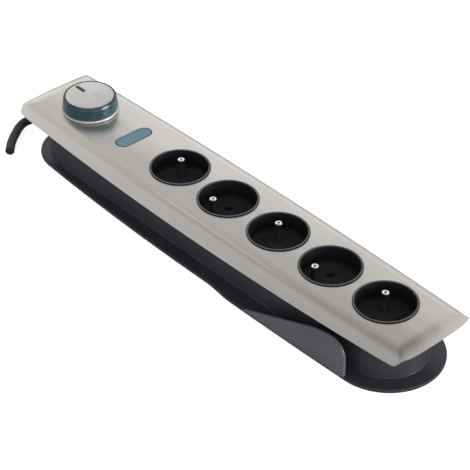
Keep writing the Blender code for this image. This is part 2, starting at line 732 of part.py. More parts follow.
def build_cable(parts, cutters, materials):
    black = materials["black_rubber"]
    route = [(SHEATH_END_X, 0, CABLE_Z), (-175, 0, CABLE_Z), (-186, 0, CABLE_Z), (-196.5, -1.2, 8.4),
             (-205.0, -6.2, 6.2), (-208.8, -14.0, 4.6), (-207.2, -21.0, 3.8), (-203.6, -26.8, 3.4),
             (-199.0, -33.0, 3.4), (-193.6, -39.0, 3.4), (-187.5, -44.6, 3.4)]
    straight = route[:3]
    bend = smooth_path(route[2:], 3)
    wire("mains_cable", straight[:2] + bend, CABLE_RADIUS, parts, black)
    grommet = lathe("cable_grommet", [(3.6, 184.0), (4.6, 184.0), (6.4, 180.4), (6.4, 179.2),
                                      (5.0, 179.2), (5.0, 172.8), (3.6, 172.8)], parts, black,
                    segments=FINE, ring=True)
    grommet.rotation_euler = (0, -math.pi / 2, 0)
    grommet.location = (0, 0, CABLE_Z * MM)
    shade(grommet.data)
    clamp = box("cord_clamp", (CLAMP_X - 2.5, -10.5, 13.1), (CLAMP_X + 2.5, 10.5, 15.5), parts,
                materials["dark_plastic"])
    for side in (-1, 1):
        cut(clamp, rod(f"clamp_bar_hole_{side}", CLAMP_X, side * CLAMP_Y, 1.6, 10, 18, cutters,
                       segments=12))
    start_x = SHEATH_END_X + GAP
    terminal_z = 11.2
    cores = {
        "live_core": [(start_x, 1.6, 10.5), (-162.2, 1.6, 10.5), (-160.0, 2.6, 9.6), (-157.6, 1.4, 9.0),
                      (-156.7, 0.2, 9.6), (-156.7, 0, terminal_z)],
        "neutral_core": [(start_x, -1.6, 10.5), (-162.2, -1.6, 10.5), (-159.5, -4.0, 8.6), (-150.0, -10.0, 7.4),
                         (-134.0, -11.4, 8.2), (-127.5, -11.4, 12.6), (-124.3, -11.4, 13.5)],
        "earth_core": [(start_x, 0, 7.8), (-162.2, 0, 7.8), (-157.0, 0, 5.6), (-140.0, 0, 5.2), (-122.0, 0, 8.0),
                       (-104.0, 0, 14.0), (-84.0, 0, 18.2), (-72.3, 0, 18.6)],
        "switched_live_link": [(-137.7, 0, terminal_z), (-137.7, 0, 10.2), (-137.0, 0.8, 9.0), (-134.0, 4.0, 7.8),
                               (-129.5, 9.0, 9.6), (-126.8, 11.4, 12.6), (-124.3, 11.4, 13.5)],
    }
    for name, points in cores.items():
        wire(name, points[:1] + smooth_path(points[1:], 2), 1.1, parts, materials[name])


# ---------------------------------------------------------------- whole strip

def build_power_strip():
    clear_scene()
    parts = new_collection("desk_power_strip")
    cutters = new_collection("cutters")
    steel = make_material("brushed_steel", (0.55, 0.53, 0.51), 0.35, 1.0)
    silver = make_material("satin_silver", (0.62, 0.61, 0.59), 0.4, 0.8)
    dark = make_material("dark_plastic", (0.05, 0.055, 0.065), 0.35)
    gloss = make_material("gloss_black", (0.01, 0.01, 0.012), 0.15)
    blue = make_material("petrol_blue", (0.05, 0.16, 0.22), 0.15, alpha=0.8)
    lens = make_material("lens_green_blue", (0.12, 0.32, 0.33), 0.2, alpha=0.8)
    white = make_material("white_plastic", (0.75, 0.74, 0.7), 0.4)
    brass = make_material("brass", (0.7, 0.5, 0.2), 0.3, 1.0)
    zinc = make_material("zinc_screw", (0.5, 0.5, 0.5), 0.4, 1.0)
    nickel = make_material("nickel_pin", (0.75, 0.75, 0.74), 0.15, 1.0)
    rubber = make_material("black_rubber", (0.012, 0.012, 0.012), 0.6)
    board = make_material("board_brown", (0.35, 0.22, 0.08), 0.5)
    cable_materials = {
        "black_rubber": rubber,
        "dark_plastic": dark,
        "live_core": make_material("core_brown", (0.17, 0.06, 0.02), 0.4),
        "neutral_core": make_material("core_blue", (0.02, 0.09, 0.4), 0.4),
        "earth_core": make_material("core_green_yellow", (0.3, 0.5, 0.03), 0.4),
        "switched_live_link": make_material("core_red_brown", (0.25, 0.07, 0.03), 0.4),
    }
    build_top_plate(parts, cutters, steel)
    build_upper_housing(parts, cutters, dark)
    build_foot_tub(parts, cutters, dark)
    build_screws(parts, cutters, zinc)
    build_feet(parts, rubber)
    build_wells(parts, cutters, gloss)
    build_earth_pins(parts, nickel)
    build_shutters(parts, gloss)
    build_shutter_guide(parts, cutters, white)
    build_busbars(parts, brass)
    axis = build_knob(parts, cutters, blue, steel, gloss, silver)
    build_switch(parts, cutters, axis, white, dark, brass)
    build_pilot(parts, lens, white, board)
    build_cable(parts, cutters, cable_materials)


build_power_strip()
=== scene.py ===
"""Looks of the desk power strip: fine surfaces, materials, studio, light and camera.

Lengths are in millimetres in the shape functions and in metres in Blender. +X runs along the
strip away from the switch, +Y to the far side and +Z up, with the origin on the desk.
"""
import math

import bmesh
import bpy
from mathutils import Matrix, Vector


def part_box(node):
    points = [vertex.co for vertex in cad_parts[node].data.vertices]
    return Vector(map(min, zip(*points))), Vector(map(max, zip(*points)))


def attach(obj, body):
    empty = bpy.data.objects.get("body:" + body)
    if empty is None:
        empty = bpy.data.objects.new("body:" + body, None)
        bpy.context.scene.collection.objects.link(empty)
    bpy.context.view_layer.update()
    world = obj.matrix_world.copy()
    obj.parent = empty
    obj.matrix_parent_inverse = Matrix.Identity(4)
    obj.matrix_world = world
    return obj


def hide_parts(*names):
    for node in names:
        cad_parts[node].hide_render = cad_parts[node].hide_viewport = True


MM = 0.001

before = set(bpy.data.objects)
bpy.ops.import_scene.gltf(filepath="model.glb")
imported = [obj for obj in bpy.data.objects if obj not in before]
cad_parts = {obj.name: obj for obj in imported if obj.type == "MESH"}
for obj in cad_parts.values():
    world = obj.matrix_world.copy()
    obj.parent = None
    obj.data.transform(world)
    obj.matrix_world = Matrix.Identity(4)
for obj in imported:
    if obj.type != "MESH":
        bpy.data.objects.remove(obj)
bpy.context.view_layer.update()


def box_mm(node):
    """A node's lowest and highest corners in millimetres."""
    low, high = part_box(node)
    return low / MM, high / MM


def middle_of(node):
    """Middle of a node's box in plan, in millimetres."""
    low, high = box_mm(node)
    return (low.x + high.x) / 2, (low.y + high.y) / 2


# ---------------------------------------------------------------- sizes read from the frame

plate_low, plate_high = box_mm("top_plate")
PLATE_TOP = plate_high.z
HALF_LENGTH = plate_high.x
HALF_WIDTH = plate_high.y
knob_low, knob_high = box_mm("knob_ring")
KNOB_X = (knob_low.x + knob_high.x) / 2
lens_low, lens_high = box_mm("pilot_lens")
LENS_X = (lens_low.x + lens_high.x) / 2
LENS_HALF_WIDTH = (lens_high.x - lens_low.x) / 2
LENS_HALF_LENGTH = lens_high.y
wells = [box_mm(f"socket_well_{i + 1}") for i in range(5)]
WELL_CENTRES = [(low.x + high.x) / 2 for low, high in wells]
RIM_RADIUS = (wells[2][1].x - wells[2][0].x) / 2
RIM_TOP = wells[0][1].z
WELL_BOTTOM = wells[0][0].z

# Plate and housing: bends and bows as in the CAD source, corners a little rounder
PLATE_THICK = 0.9
SIDE_BOW = 5.1
END_BOW = 0.9
CORNER_CUT = 4.6
CORNER_POWER = 10
CORNER_NARROWING = 2.2
CORNER_NARROWING_POWER = 60
BOW_STATION = 185.0
SIDE_BEND_START = 25.0
SIDE_BEND_TAPER = 3.3
SIDE_BEND_RADIUS = 12.0
SIDE_BEND_ANGLE = math.radians(45)
END_BEND_WIDTH = 12.0
END_BEND_RADIUS = 20.0
END_BEND_ANGLE = math.radians(30)
MITRE_POWER = 3.5
SHEET_GAP = 0.7
HOUSING_THICK = 2.0
CROWN = 0.0030  # in metres, as the material takes it
CROWN_START = 4.0
CROWN_END = 36.0
# Position of the painted highlight line along the near bend
BEND_HIGHLIGHT_Y = 29.9
WELL_HOLE_RADIUS = 20.7
SPINDLE_HOLE_RADIUS = 9.3
BOSS_BORE_RADIUS = 2.05
BOSS_RADIUS = 3.5
BOSS_BOTTOM = 7.8
HOUSING_UNDERSIDE = 37.2
LIP_BOTTOM = 31.0
LIP_THICK = 1.6

# Foot and guide walls
FLANGE_TOP = 2.6
TUB_FLOOR = 2.8
WAIST_TOP = 33.6
WAIST_RADIUS = 27.5
WAIST_WALL = 2.2
WAIST_LEFT = -151.3
WAIST_RIGHT = 148.5
FOOT_LEFT = -155.3
FOOT_LEFT_RADIUS = 32.5
FOOT_RIGHT = 148.5
FOOT_RIGHT_RADIUS = 38.45
GUIDE_THICK = 2.0
GUIDE_START = 51.5
GUIDE_RAMP = math.radians(20.2)
GUIDE_STRAIGHT_END = 118.0
GUIDE_CREST = 136.5
GUIDE_END = 148.5
GUIDE_BASE = 1.2
GUIDE_TOE = 1.6
GUIDE_EDGE = 0.45
FLANGE_ROUND = 0.8
WAIST_FILLET = 0.6
SCREW_HOLE_RADIUS = 3.6
SCREW_HOLE_TOP = 4.2
PAD_POCKET_RADIUS = 6.3
PAD_POCKET_TOP = 1.8
CABLE_HOLE_RADIUS = 5.3
CABLE_HOLE_X = -178

# Wells
WELL_RADIUS = 19.4
WELL_FLOOR = 25.5
RIM_FOOT = 40.12
SKIRT_TOP = 40.1
PIN_SPREAD = 9.5
EARTH_OFFSET = 10.0
PIN_RADIUS = 2.4
PIN_HOLE_RADIUS = 2.8
PIN_FOOT = 17.2

# Slot for the pointer in the knob's face
POINTER_SLOT_FLOOR = 50.2
POINTER_SLOT_TOP = 54.0

# Cable
CABLE_RADIUS = 3.3
CABLE_HEIGHT = 9.5


# ---------------------------------------------------------------- node trees

class Nodes:
    """Small helper that builds a material's node tree."""

    def __init__(self, name):
        self.material = bpy.data.materials.new(name)
        self.material.use_nodes = True
        self.tree = self.material.node_tree
        self.shader = self.tree.nodes["Principled BSDF"]

    def add(self, kind, **settings):
        node = self.tree.nodes.new(kind)
        for key, value in settings.items():
            if key in node.inputs:
                node.inputs[key].default_value = value
            else:
                setattr(node, key, value)
        return node

    def link(self, source, target):
        self.tree.links.new(source, target)

    def place(self, scale=(1, 1, 1)):
        """Object coordinates in metres, scaled."""
        coords = self.add("ShaderNodeTexCoord")
        mapping = self.add("ShaderNodeMapping", Scale=scale)
        self.link(coords.outputs["Object"], mapping.inputs["Vector"])
        return mapping.outputs["Vector"]

    def axes(self):
        """Separate X, Y and Z of the object coordinates."""
        split = self.add("ShaderNodeSeparateXYZ")
        self.link(self.place(), split.inputs["Vector"])
        return split.outputs

    def noise(self, vector, scale, detail=2.0, roughness=0.5):
        node = self.add("ShaderNodeTexNoise", Scale=scale, Detail=detail, Roughness=roughness)
        self.link(vector, node.inputs["Vector"])
        return node.outputs["Fac"]

    def ramp(self, value, low, high, to_low, to_high):
        """Remap a value to a new range, clamped."""
        node = self.add("ShaderNodeMapRange")
        self.link(value, node.inputs["Value"])
        for key, number in (("From Min", low), ("From Max", high), ("To Min", to_low),
                            ("To Max", to_high)):
            node.inputs[key].default_value = number
        return node.outputs["Result"]

    def math(self, operation, a, b=None):
        node = self.add("ShaderNodeMath", operation=operation)
        for index, value in enumerate((a, b)):
            if value is None:
                continue
            if isinstance(value, (int, float)):
                node.inputs[index].default_value = value
            else:
                self.link(value, node.inputs[index])
        return node.outputs["Value"]

    def mix(self, factor, first, second):
        node = self.add("ShaderNodeMix", data_type="RGBA")
        if isinstance(factor, (int, float)):
            node.inputs["Factor"].default_value = factor
        else:
            self.link(factor, node.inputs["Factor"])
        for socket, value in ((node.inputs[6], first), (node.inputs[7], second)):
            if isinstance(value, tuple):
                socket.default_value = (*value, 1.0)
            else:
                self.link(value, socket)
        return node.outputs[2]

    def bump(self, height, strength, distance):
        node = self.add("ShaderNodeBump", Strength=strength, Distance=distance)
        self.link(height, node.inputs["Height"])
        self.link(node.outputs["Normal"], self.shader.inputs["Normal"])
        return node

    def set(self, **inputs):
        for key, value in inputs.items():
            socket = self.shader.inputs[key.replace("_", " ")]
            if isinstance(value, (int, float)):
                socket.default_value = value
            elif isinstance(value, tuple):
                socket.default_value = (*value, 1.0)
            else:
                self.link(value, socket)

    def edge_wear(self, radius=0.0006, samples=4):
        """1 along convex edges and 0 on flat faces."""
        bevel = self.add("ShaderNodeBevel", samples=samples)
        bevel.inputs["Radius"].default_value = radius
        geometry = self.add("ShaderNodeNewGeometry")
        dot = self.add("ShaderNodeVectorMath", operation="DOT_PRODUCT")
        self.link(bevel.outputs["Normal"], dot.inputs[0])
        self.link(geometry.outputs["Normal"], dot.inputs[1])
        return self.ramp(dot.outputs["Value"], 0.97, 0.8, 0.0, 1.0)


def brushed_steel(name, colour, roughness, crown=0.0, wear=0.5):
    """Steel with brush lines along the strip, cloudy roughness and brighter worn edges.

    A crown, in metres, gives the sheet a faint roll from its middle to its long sides and a thin
    painted highlight along the near bend.
    """
    n = Nodes(name)
    fine = n.noise(n.place((14, 2600, 900)), 1.0, 3.0, 0.6)
    broad = n.noise(n.place((3, 420, 160)), 1.0, 2.0, 0.5)
    cloud = n.noise(n.place(), 22.0, 3.0, 0.55)
    lines = n.math("ADD", n.math("MULTIPLY", fine, 0.65), n.math("MULTIPLY", broad, 0.35))
    dark = tuple(c * 0.92 for c in colour)
    light = tuple(min(1.0, c * 1.05) for c in colour)
    tone = n.mix(n.ramp(lines, 0.3, 0.7, 0.0, 1.0), dark, light)
    worn = n.mix(n.math("MULTIPLY", n.edge_wear(), wear), tone, (0.92, 0.91, 0.9))
    rough = n.math("ADD", n.ramp(lines, 0.3, 0.7, roughness + 0.05, roughness - 0.05),
                   n.ramp(cloud, 0.35, 0.65, -0.03, 0.03))
    n.set(Base_Color=worn, Metallic=1.0, Roughness=rough, Anisotropic=0.35)
    brush = n.bump(lines, 0.12, 0.00004)
    if crown:
        add_crown(n, brush, worn, crown)
    return n.material


def add_crown(n, brush, tone, crown):
    """Faint roll across the sheet and the painted highlight line along its near bend."""
    across = n.axes()
    roll = n.add("ShaderNodeMapRange", interpolation_type="SMOOTHSTEP")
    n.link(n.math("ABSOLUTE", across["Y"]), roll.inputs["Value"])
    for key, number in (("From Min", CROWN_START * MM), ("From Max", CROWN_END * MM),
                        ("To Min", 0.0), ("To Max", -crown)):
        roll.inputs[key].default_value = number
    sheet_roll = n.add("ShaderNodeBump", Strength=1.0, Distance=1.0)
    n.link(roll.outputs["Result"], sheet_roll.inputs["Height"])
    n.link(sheet_roll.outputs["Normal"], brush.inputs["Normal"])
    # Painted highlight: a thin lighter band along the near bend, faded out towards both ends
    off_highlight = n.math("ABSOLUTE", n.math("ADD", across["Y"], BEND_HIGHLIGHT_Y * MM))
    bend_highlight = n.ramp(off_highlight, 0.0002, 0.0007, 1.0, 0.0)
    begin = n.ramp(across["X"], -0.050, -0.020, 0.0, 1.0)
    end = n.ramp(across["X"], 0.060, 0.100, 1.0, 0.0)
    bend_highlight = n.math("MULTIPLY", bend_highlight, n.math("MULTIPLY", begin, end))
    n.set(Base_Color=n.mix(n.math("MULTIPLY", bend_highlight, 0.55), tone, (0.95, 0.94, 0.92)))


def plastic(name, colour, roughness, grain=0.1, grain_scale=2200.0, shine=0.5,
            wear=(0.2, 0.2, 0.22)):
    """Moulded plastic with a fine spark-eroded grain, faint flow marks and rubbed edges."""
    n = Nodes(name)
    grain_noise = n.noise(n.place(), grain_scale, 2.0, 0.5)
    flow = n.noise(n.place((0.5, 1, 1)), 35.0, 3.0, 0.5)
    dark = tuple(c * 0.88 for c in colour)
    light = tuple(min(1.0, c * 1.12) for c in colour)
    tone = n.mix(n.ramp(flow, 0.35, 0.65, 0.0, 1.0), dark, light)
    worn = n.mix(n.math("MULTIPLY", n.edge_wear(0.0004), 0.35), tone, wear)
    rough = n.ramp(grain_noise, 0.3, 0.7, roughness - 0.04, roughness + 0.06)
    n.set(Base_Color=worn, Roughness=rough, Specular_IOR_Level=shine)
    n.bump(grain_noise, grain, 0.00003)
    return n.material


def tinted_plastic(name, deep, pale, roughness, clear, shine=0.5):
    """Translucent tinted plastic: painted sheen makes it paler where it is seen edge-on, with soft
    inner clouding.
    """
    n = Nodes(name)
    edge_sheen = n.add("ShaderNodeLayerWeight", Blend=0.35)
    cloud = n.noise(n.place(), 160.0, 2.0, 0.5)
    # Painted sheen: the tint turns towards its pale colour in edge-on views
    depth = n.math("ADD", n.math("MULTIPLY", edge_sheen.outputs["Facing"], 0.55),
                   n.ramp(cloud, 0.3, 0.7, -0.08, 0.08))
    tone = n.mix(depth, deep, pale)
    n.set(Base_Color=tone, Roughness=roughness, Transmission_Weight=clear, IOR=1.49,
          Specular_IOR_Level=shine, Subsurface_Weight=0.1)
    n.shader.inputs["Subsurface Radius"].default_value = (0.002, 0.003, 0.004)
    ripple = n.noise(n.place(), 700.0, 1.0, 0.4)
    n.bump(ripple, 0.04, 0.00003)
    return n.material


def metal(name, colour, roughness, scratch=0.1):
    """Small turned or plated metal part."""
    n = Nodes(name)
    marks = n.noise(n.place((1, 1, 6)), 900.0, 3.0, 0.6)
    dull = n.noise(n.place(), 130.0, 2.0, 0.5)
    dark = tuple(c * 0.8 for c in colour)
    tone = n.mix(n.ramp(dull, 0.35, 0.65, 0.0, 1.0), dark, colour)
    n.set(Base_Color=tone, Metallic=1.0,
          Roughness=n.ramp(marks, 0.3, 0.7, max(0.03, roughness - 0.05), roughness + 0.08))
    n.bump(marks, scratch, 0.00002)
    return n.material


def pin_metal_and_painted_shade(name, colour, cap_height):
    """Plated pin: bright on its end face; shaft and centre mark painted shade, lighter near the
    floor.
    """
    n = Nodes(name)
    marks = n.noise(n.place((1, 1, 6)), 900.0, 3.0, 0.6)
    height = n.axes()["Z"]
    bright = n.ramp(height, (cap_height - 0.55) * MM, (cap_height - 0.2) * MM, 0.0, 1.0)
    # Painted shade on the shaft: darkest under the end face, lighter towards the well floor
    depth = n.ramp(height, (WELL_FLOOR + 1.0) * MM, (cap_height - 1.5) * MM, 1.0, 0.0)
    depth = n.math("ADD", depth, n.ramp(marks, 0.3, 0.7, -0.1, 0.1))
    shaft_painted_shade = n.mix(depth, (0.009, 0.009, 0.010), (0.052, 0.052, 0.055))
    n.set(Base_Color=n.mix(bright, shaft_painted_shade, colour), Metallic=bright,
          Roughness=n.ramp(bright, 0.0, 1.0, 0.6, 0.12),
          Specular_IOR_Level=n.ramp(bright, 0.0, 1.0, 0.05, 0.5))
    n.bump(marks, 0.1, 0.00002)
    return n.material


def well_plastic(name, wall, floor, floor_height):
    """Matte black moulding with painted shade: darker on the walls than on the floor of the well.
    """
    n = Nodes(name)
    grain = n.noise(n.place(), 2200.0, 2.0, 0.5)
    flow = n.noise(n.place((0.5, 1, 1)), 35.0, 3.0, 0.5)
    # Painted shade: the walls darker than the floor, fading in over 5 mm above the floor
    low = n.ramp(n.axes()["Z"], (floor_height + 0.3) * MM, (floor_height + 5.0) * MM, 1.0, 0.0)
    tone = n.mix(low, wall, floor)
    dark = n.mix(n.ramp(flow, 0.35, 0.65, 0.0, 0.2), tone, (0.0, 0.0, 0.0))
    n.set(Base_Color=dark, Roughness=n.ramp(grain, 0.3, 0.7, 0.46, 0.56), Specular_IOR_Level=0.12)
    n.bump(grain, 0.05, 0.00003)
    return n.material


def rubber(name, colour, roughness):
    """Soft black rubber with a pale bloom."""
    n = Nodes(name)
    bloom = n.noise(n.place(), 260.0, 3.0, 0.6)
    grit = n.noise(n.place(), 3000.0, 2.0, 0.5)
    light = tuple(c * 1.8 for c in colour)
    n.set(Base_Color=n.mix(n.ramp(bloom, 0.3, 0.75, 0.0, 1.0), colour, light),
          Roughness=n.ramp(grit, 0.3, 0.7, roughness - 0.06, roughness + 0.1))
    n.bump(grit, 0.12, 0.00003)
    return n.material


STEEL = brushed_steel("plate_steel", (0.63, 0.605, 0.58), 0.33, CROWN)
DISC_STEEL = brushed_steel("disc_steel", (0.62, 0.61, 0.60), 0.33)
SATIN = brushed_steel("satin_ring", (0.50, 0.495, 0.48), 0.5, wear=0.0)
CASING = plastic("foot_plastic", (0.031, 0.034, 0.041), 0.32, 0.10, shine=0.35,
                 wear=(0.035, 0.038, 0.045))
# Guide walls: a lighter copy of the foot plastic, painted light for the light on their outer faces
GUIDE_PAINTED_LIGHT = plastic("foot_plastic_painted_light", (0.106, 0.110, 0.122), 0.36, 0.10, shine=0.35,
              wear=(0.09, 0.095, 0.105))
UNDER = plastic("housing_plastic", (0.012, 0.013, 0.015), 0.5, 0.15, shine=0.2)
# The well's wall colour is painted shade, darker than its floor colour
WELL_BLACK = well_plastic("well_black", (0.008, 0.008, 0.010), (0.040, 0.040, 0.044), WELL_FLOOR)
COLLAR = plastic("collar_grey", (0.10, 0.10, 0.098), 0.3, 0.03, shine=0.5, wear=(0.2, 0.2, 0.195))
SHUTTER_BLACK = plastic("shutter_black", (0.010, 0.010, 0.011), 0.4, 0.1)
# The pale colours of the tinted plastics are painted sheen, shown edge-on
KNOB_BLUE = tinted_plastic("knob_blue", (0.010, 0.046, 0.066), (0.12, 0.29, 0.34), 0.20, 0.25)
KNOB_LIP = tinted_plastic("knob_lip_teal", (0.006, 0.022, 0.032), (0.02, 0.06, 0.08), 0.12, 0.1)
LENS_BLUE = tinted_plastic("lens_blue", (0.15, 0.30, 0.355), (0.20, 0.36, 0.41), 0.25, 0.1, 0.25)
LENS_EDGE = tinted_plastic("lens_edge", (0.012, 0.05, 0.06), (0.02, 0.08, 0.09), 0.3, 0.1, 0.3)
PIN_METAL_AND_SHADE = pin_metal_and_painted_shade("pin_nickel_and_painted_shade", (0.99, 0.99, 0.98), box_mm("earth_pin_1")[1].z)
ZINC = metal("zinc_plated", (0.52, 0.52, 0.54), 0.34, 0.2)
BRASS = metal("contact_brass", (0.72, 0.50, 0.20), 0.28)
BLACK_MARK = plastic("pointer_black", (0.012, 0.012, 0.013), 0.3, 0.05)
CABLE = rubber("cable_sheath", (0.008, 0.008, 0.009), 0.5)
PAD = rubber("pad_rubber", (0.022, 0.022, 0.022), 0.75)
INNER_WHITE = plastic("inner_white", (0.62, 0.61, 0.57), 0.45, 0.15)
BOARD = plastic("board_laminate", (0.30, 0.18, 0.06), 0.5, 0.2)
CORES = {
    "live_core": plastic("core_brown", (0.15, 0.055, 0.02), 0.4),
    "neutral_core": plastic("core_blue", (0.02, 0.08, 0.38), 0.4),
    "switched_live_link": plastic("core_red_brown", (0.22, 0.06, 0.03), 0.4),
}


def striped_core():
    """Earth core insulation: green and yellow stripes along the wire."""
    n = Nodes("core_striped")
    wave = n.add("ShaderNodeTexWave", wave_type="BANDS", bands_direction="DIAGONAL", Scale=160.0)
    n.link(n.place(), wave.inputs["Vector"])
    tone = n.mix(n.ramp(wave.outputs["Fac"], 0.45, 0.55, 0.0, 1.0), (0.02, 0.28, 0.04),
                 (0.75, 0.6, 0.03))
    n.set(Base_Color=tone, Roughness=0.4)
    return n.material


CORES["earth_core"] = striped_core()


# ---------------------------------------------------------------- mesh helpers

def finish_piece(name, mesh, material, body, nodes=(), angle=30):
    """Link a mesh as a piece of the object that rides on a body."""
    mesh.materials.clear()
    mesh.materials.append(material)
    mesh.shade_smooth()
    mesh.set_sharp_from_angle(angle=math.radians(angle))
    obj = bpy.data.objects.new(name, mesh)
    bpy.context.scene.collection.objects.link(obj)
    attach(obj, body)
    if nodes:
        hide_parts(*nodes)
    return obj


def to_mesh(work, name):
    """Mesh from a bmesh, with its normals turned outwards."""
    bmesh.ops.recalc_face_normals(work, faces=work.faces)
    mesh = bpy.data.meshes.new(name)
    work.to_mesh(mesh)
    work.free()
    return mesh


def lathe(profile, segments, closed=False, centre=(0.0, 0.0)):
    """Turned surface as a bmesh. The profile is a list of (radius, height)."""
    work = bmesh.new()
    rings = []
    for radius, height in profile:
        if radius < 1e-6:
            rings.append([work.verts.new((centre[0] * MM, centre[1] * MM, height * MM))])
            continue
        ring = []
        for i in range(segments):
            angle = 2 * math.pi * i / segments
            ring.append(work.verts.new(((centre[0] + radius * math.cos(angle)) * MM,
                                        (centre[1] + radius * math.sin(angle)) * MM, height * MM)))
        rings.append(ring)
    pairs = list(zip(rings, rings[1:]))
    if closed:
        pairs.append((rings[-1], rings[0]))
    for first, second in pairs:
        bridge(work, first, second)
    return work


def bridge(work, first, second):
    """Faces between two closed rings of the same count, or between a ring and a point."""
    count = max(len(first), len(second))
    for i in range(count):
        j = (i + 1) % count
        corners = [first[i % len(first)], first[j % len(first)],
                   second[j % len(second)], second[i % len(second)]]
        unique = []
        for corner in corners:
            if corner not in unique:
                unique.append(corner)
        work.faces.new(unique)


def loft(rings):
    """Closed body through rings of 3-D points in millimetres."""
    work = bmesh.new()
    made = [[work.verts.new(Vector(p) * MM) for p in ring] for ring in rings]
    for first, second in zip(made, made[1:]):
        bridge(work, first, second)
    work.faces.new(made[0][::-1])
    work.faces.new(made[-1])
    return work


def rounded_profile(points, radius, steps=4):
    """Round the inner corners of an open profile with small arcs."""
    out = [points[0]]
    for before, here, after in zip(points, points[1:], points[2:]):
        a = Vector(before) - Vector(here)
        b = Vector(after) - Vector(here)
        reach = min(radius, a.length * 0.45, b.length * 0.45)
        start = Vector(here) + a.normalized() * reach
        end = Vector(here) + b.normalized() * reach
        for i in range(steps + 1):
            t = i / steps
            point = (1 - t) ** 2 * start + 2 * t * (1 - t) * Vector(here) + t ** 2 * end
            out.append((point.x, point.y))
    out.append(points[-1])
    return out


def boolean(mesh, tool_meshes, operation="DIFFERENCE"):
    """Apply Booleans with temporary objects and return the new mesh."""
    scene = bpy.context.scene.collection
    target = bpy.data.objects.new("boolean_target", mesh)
    scene.objects.link(target)
    tools = []
    for tool_mesh in tool_meshes:
        tool = bpy.data.objects.new("boolean_tool", tool_mesh)
        scene.objects.link(tool)
        step = target.modifiers.new("step", "BOOLEAN")
        step.operation = operation
        step.object = tool
        step.solver = "EXACT"
        tools.append(tool)
    bpy.context.view_layer.update()
    depsgraph = bpy.context.evaluated_depsgraph_get()
    result = bpy.data.meshes.new_from_object(target.evaluated_get(depsgraph))
    for obj in tools + [target]:
        bpy.data.objects.remove(obj, do_unlink=True)
    return result


def solidified(mesh, thickness):
    """Sheet mesh thickened downwards and applied."""
    obj = bpy.data.objects.new("sheet", mesh)
    bpy.context.scene.collection.objects.link(obj)
    solid = obj.modifiers.new("Thickness", "SOLIDIFY")
    solid.thickness = thickness * MM
    solid.offset = -1.0
    solid.use_even_offset = True
    bpy.context.view_layer.update()
    result = bpy.data.meshes.new_from_object(
        obj.evaluated_get(bpy.context.evaluated_depsgraph_get()))
    bpy.data.objects.remove(obj, do_unlink=True)
    return result


def prism(outline, low, high, name="prism"):
    """Upright prism mesh from an outline."""
    work = loft([[(x, y, low) for x, y in outline], [(x, y, high) for x, y in outline]])
    return to_mesh(work, name)


def circle(cx, cy, radius, count):
    return [(cx + radius * math.cos(2 * math.pi * i / count),
             cy + radius * math.sin(2 * math.pi * i / count)) for i in range(count)]


def arc(cx, cy, radius, start, end, count):
    """Points from one angle to another, both in degrees."""
    points = []
    for i in range(count + 1):
        angle = math.radians(start + (end - start) * i / count)
        points.append((cx + radius * math.cos(angle), cy + radius * math.sin(angle)))
    return points


def pill(cx, half_width, half_length):
    """Outline with round ends, long in Y."""
    straight = half_length - half_width
    return (arc(cx, straight, half_width, 0, 180, 20)
            + arc(cx, -straight, half_width, 180, 360, 20))


def stadium(left, right, radius, count=24):
    """Outline with round ends, long in X."""
    return arc(left, 0, radius, 90, 270, count) + arc(right, 0, radius, -90, 90, count)


def rounded_rectangle(x0, x1, y0, y1, radius, count=6):
    return (arc(x1 - radius, y1 - radius, radius, 0, 90, count)
            + arc(x0 + radius, y1 - radius, radius, 90, 180, count)
            + arc(x0 + radius, y0 + radius, radius, 180, 270, count)
            + arc(x1 - radius, y0 + radius, radius, 270, 360, count))


def band(loops):
    """Closed ring-shaped bmesh through loops of 3-D points in millimetres."""
    work = bmesh.new()
    made = [[work.verts.new(Vector(p) * MM) for p in loop] for loop in loops]
    for first, second in zip(made, made[1:] + made[:1]):
        bridge(work, first, second)
    return work


# ---------------------------------------------------------------- plate and housing

def plate_half_width(x):
    """Half width of the barrel-shaped plate, drawn in at its corners."""
    corner = CORNER_NARROWING * (x / HALF_LENGTH) ** CORNER_NARROWING_POWER
    return HALF_WIDTH - SIDE_BOW * (x / BOW_STATION) ** 2 - corner


def plate_half_length(share):
    """Half length of the plate at a share of its half width."""
    return HALF_LENGTH - END_BOW * share ** 2 - CORNER_CUT * abs(share) ** CORNER_POWER


def bend_drop(distance, radius, angle):
    """Fall of a bent margin at a distance beyond the start of its bend."""
    if distance <= 0:
        return 0.0
    arc_run = radius * math.sin(angle)
    if distance < arc_run:
        return radius - math.sqrt(radius ** 2 - distance ** 2)
    return radius * (1 - math.cos(angle)) + (distance - arc_run) * math.tan(angle)


def plate_height(x, y):
    """Height of the plate's top face, its side and end bends blended at the mitres."""
    side_start = SIDE_BEND_START - SIDE_BEND_TAPER * (x / BOW_STATION) ** 2
    side = bend_drop(abs(y) - side_start, SIDE_BEND_RADIUS, SIDE_BEND_ANGLE)
    share = min(1.0, abs(y) / plate_half_width(x))
    end_start = HALF_LENGTH - END_BOW * share ** 2 - END_BEND_WIDTH
    end = bend_drop(abs(x) - end_start, END_BEND_RADIUS, END_BEND_ANGLE)
    return PLATE_TOP - (side ** MITRE_POWER + end ** MITRE_POWER) ** (1 / MITRE_POWER)


def plate_point(x, y, depth):
    """Point at a depth below the plate's top face, square to it."""
    step = 0.05
    slope_x = (plate_height(x + step, y) - plate_height(x - step, y)) / (2 * step)
    slope_y = (plate_height(x, y + step) - plate_height(x, y - step)) / (2 * step)
    normal = Vector((-slope_x, -slope_y, 1.0)).normalized()
    return Vector((x, y, plate_height(x, y))) - normal * depth


def stations(groups):
    """Joined runs of evenly spaced values: each group is (start, end, count)."""
    values = []
    for start, end, count in groups:
        values += [start + (end - start) * i / count for i in range(count)]
    values.append(groups[-1][1])
    return values


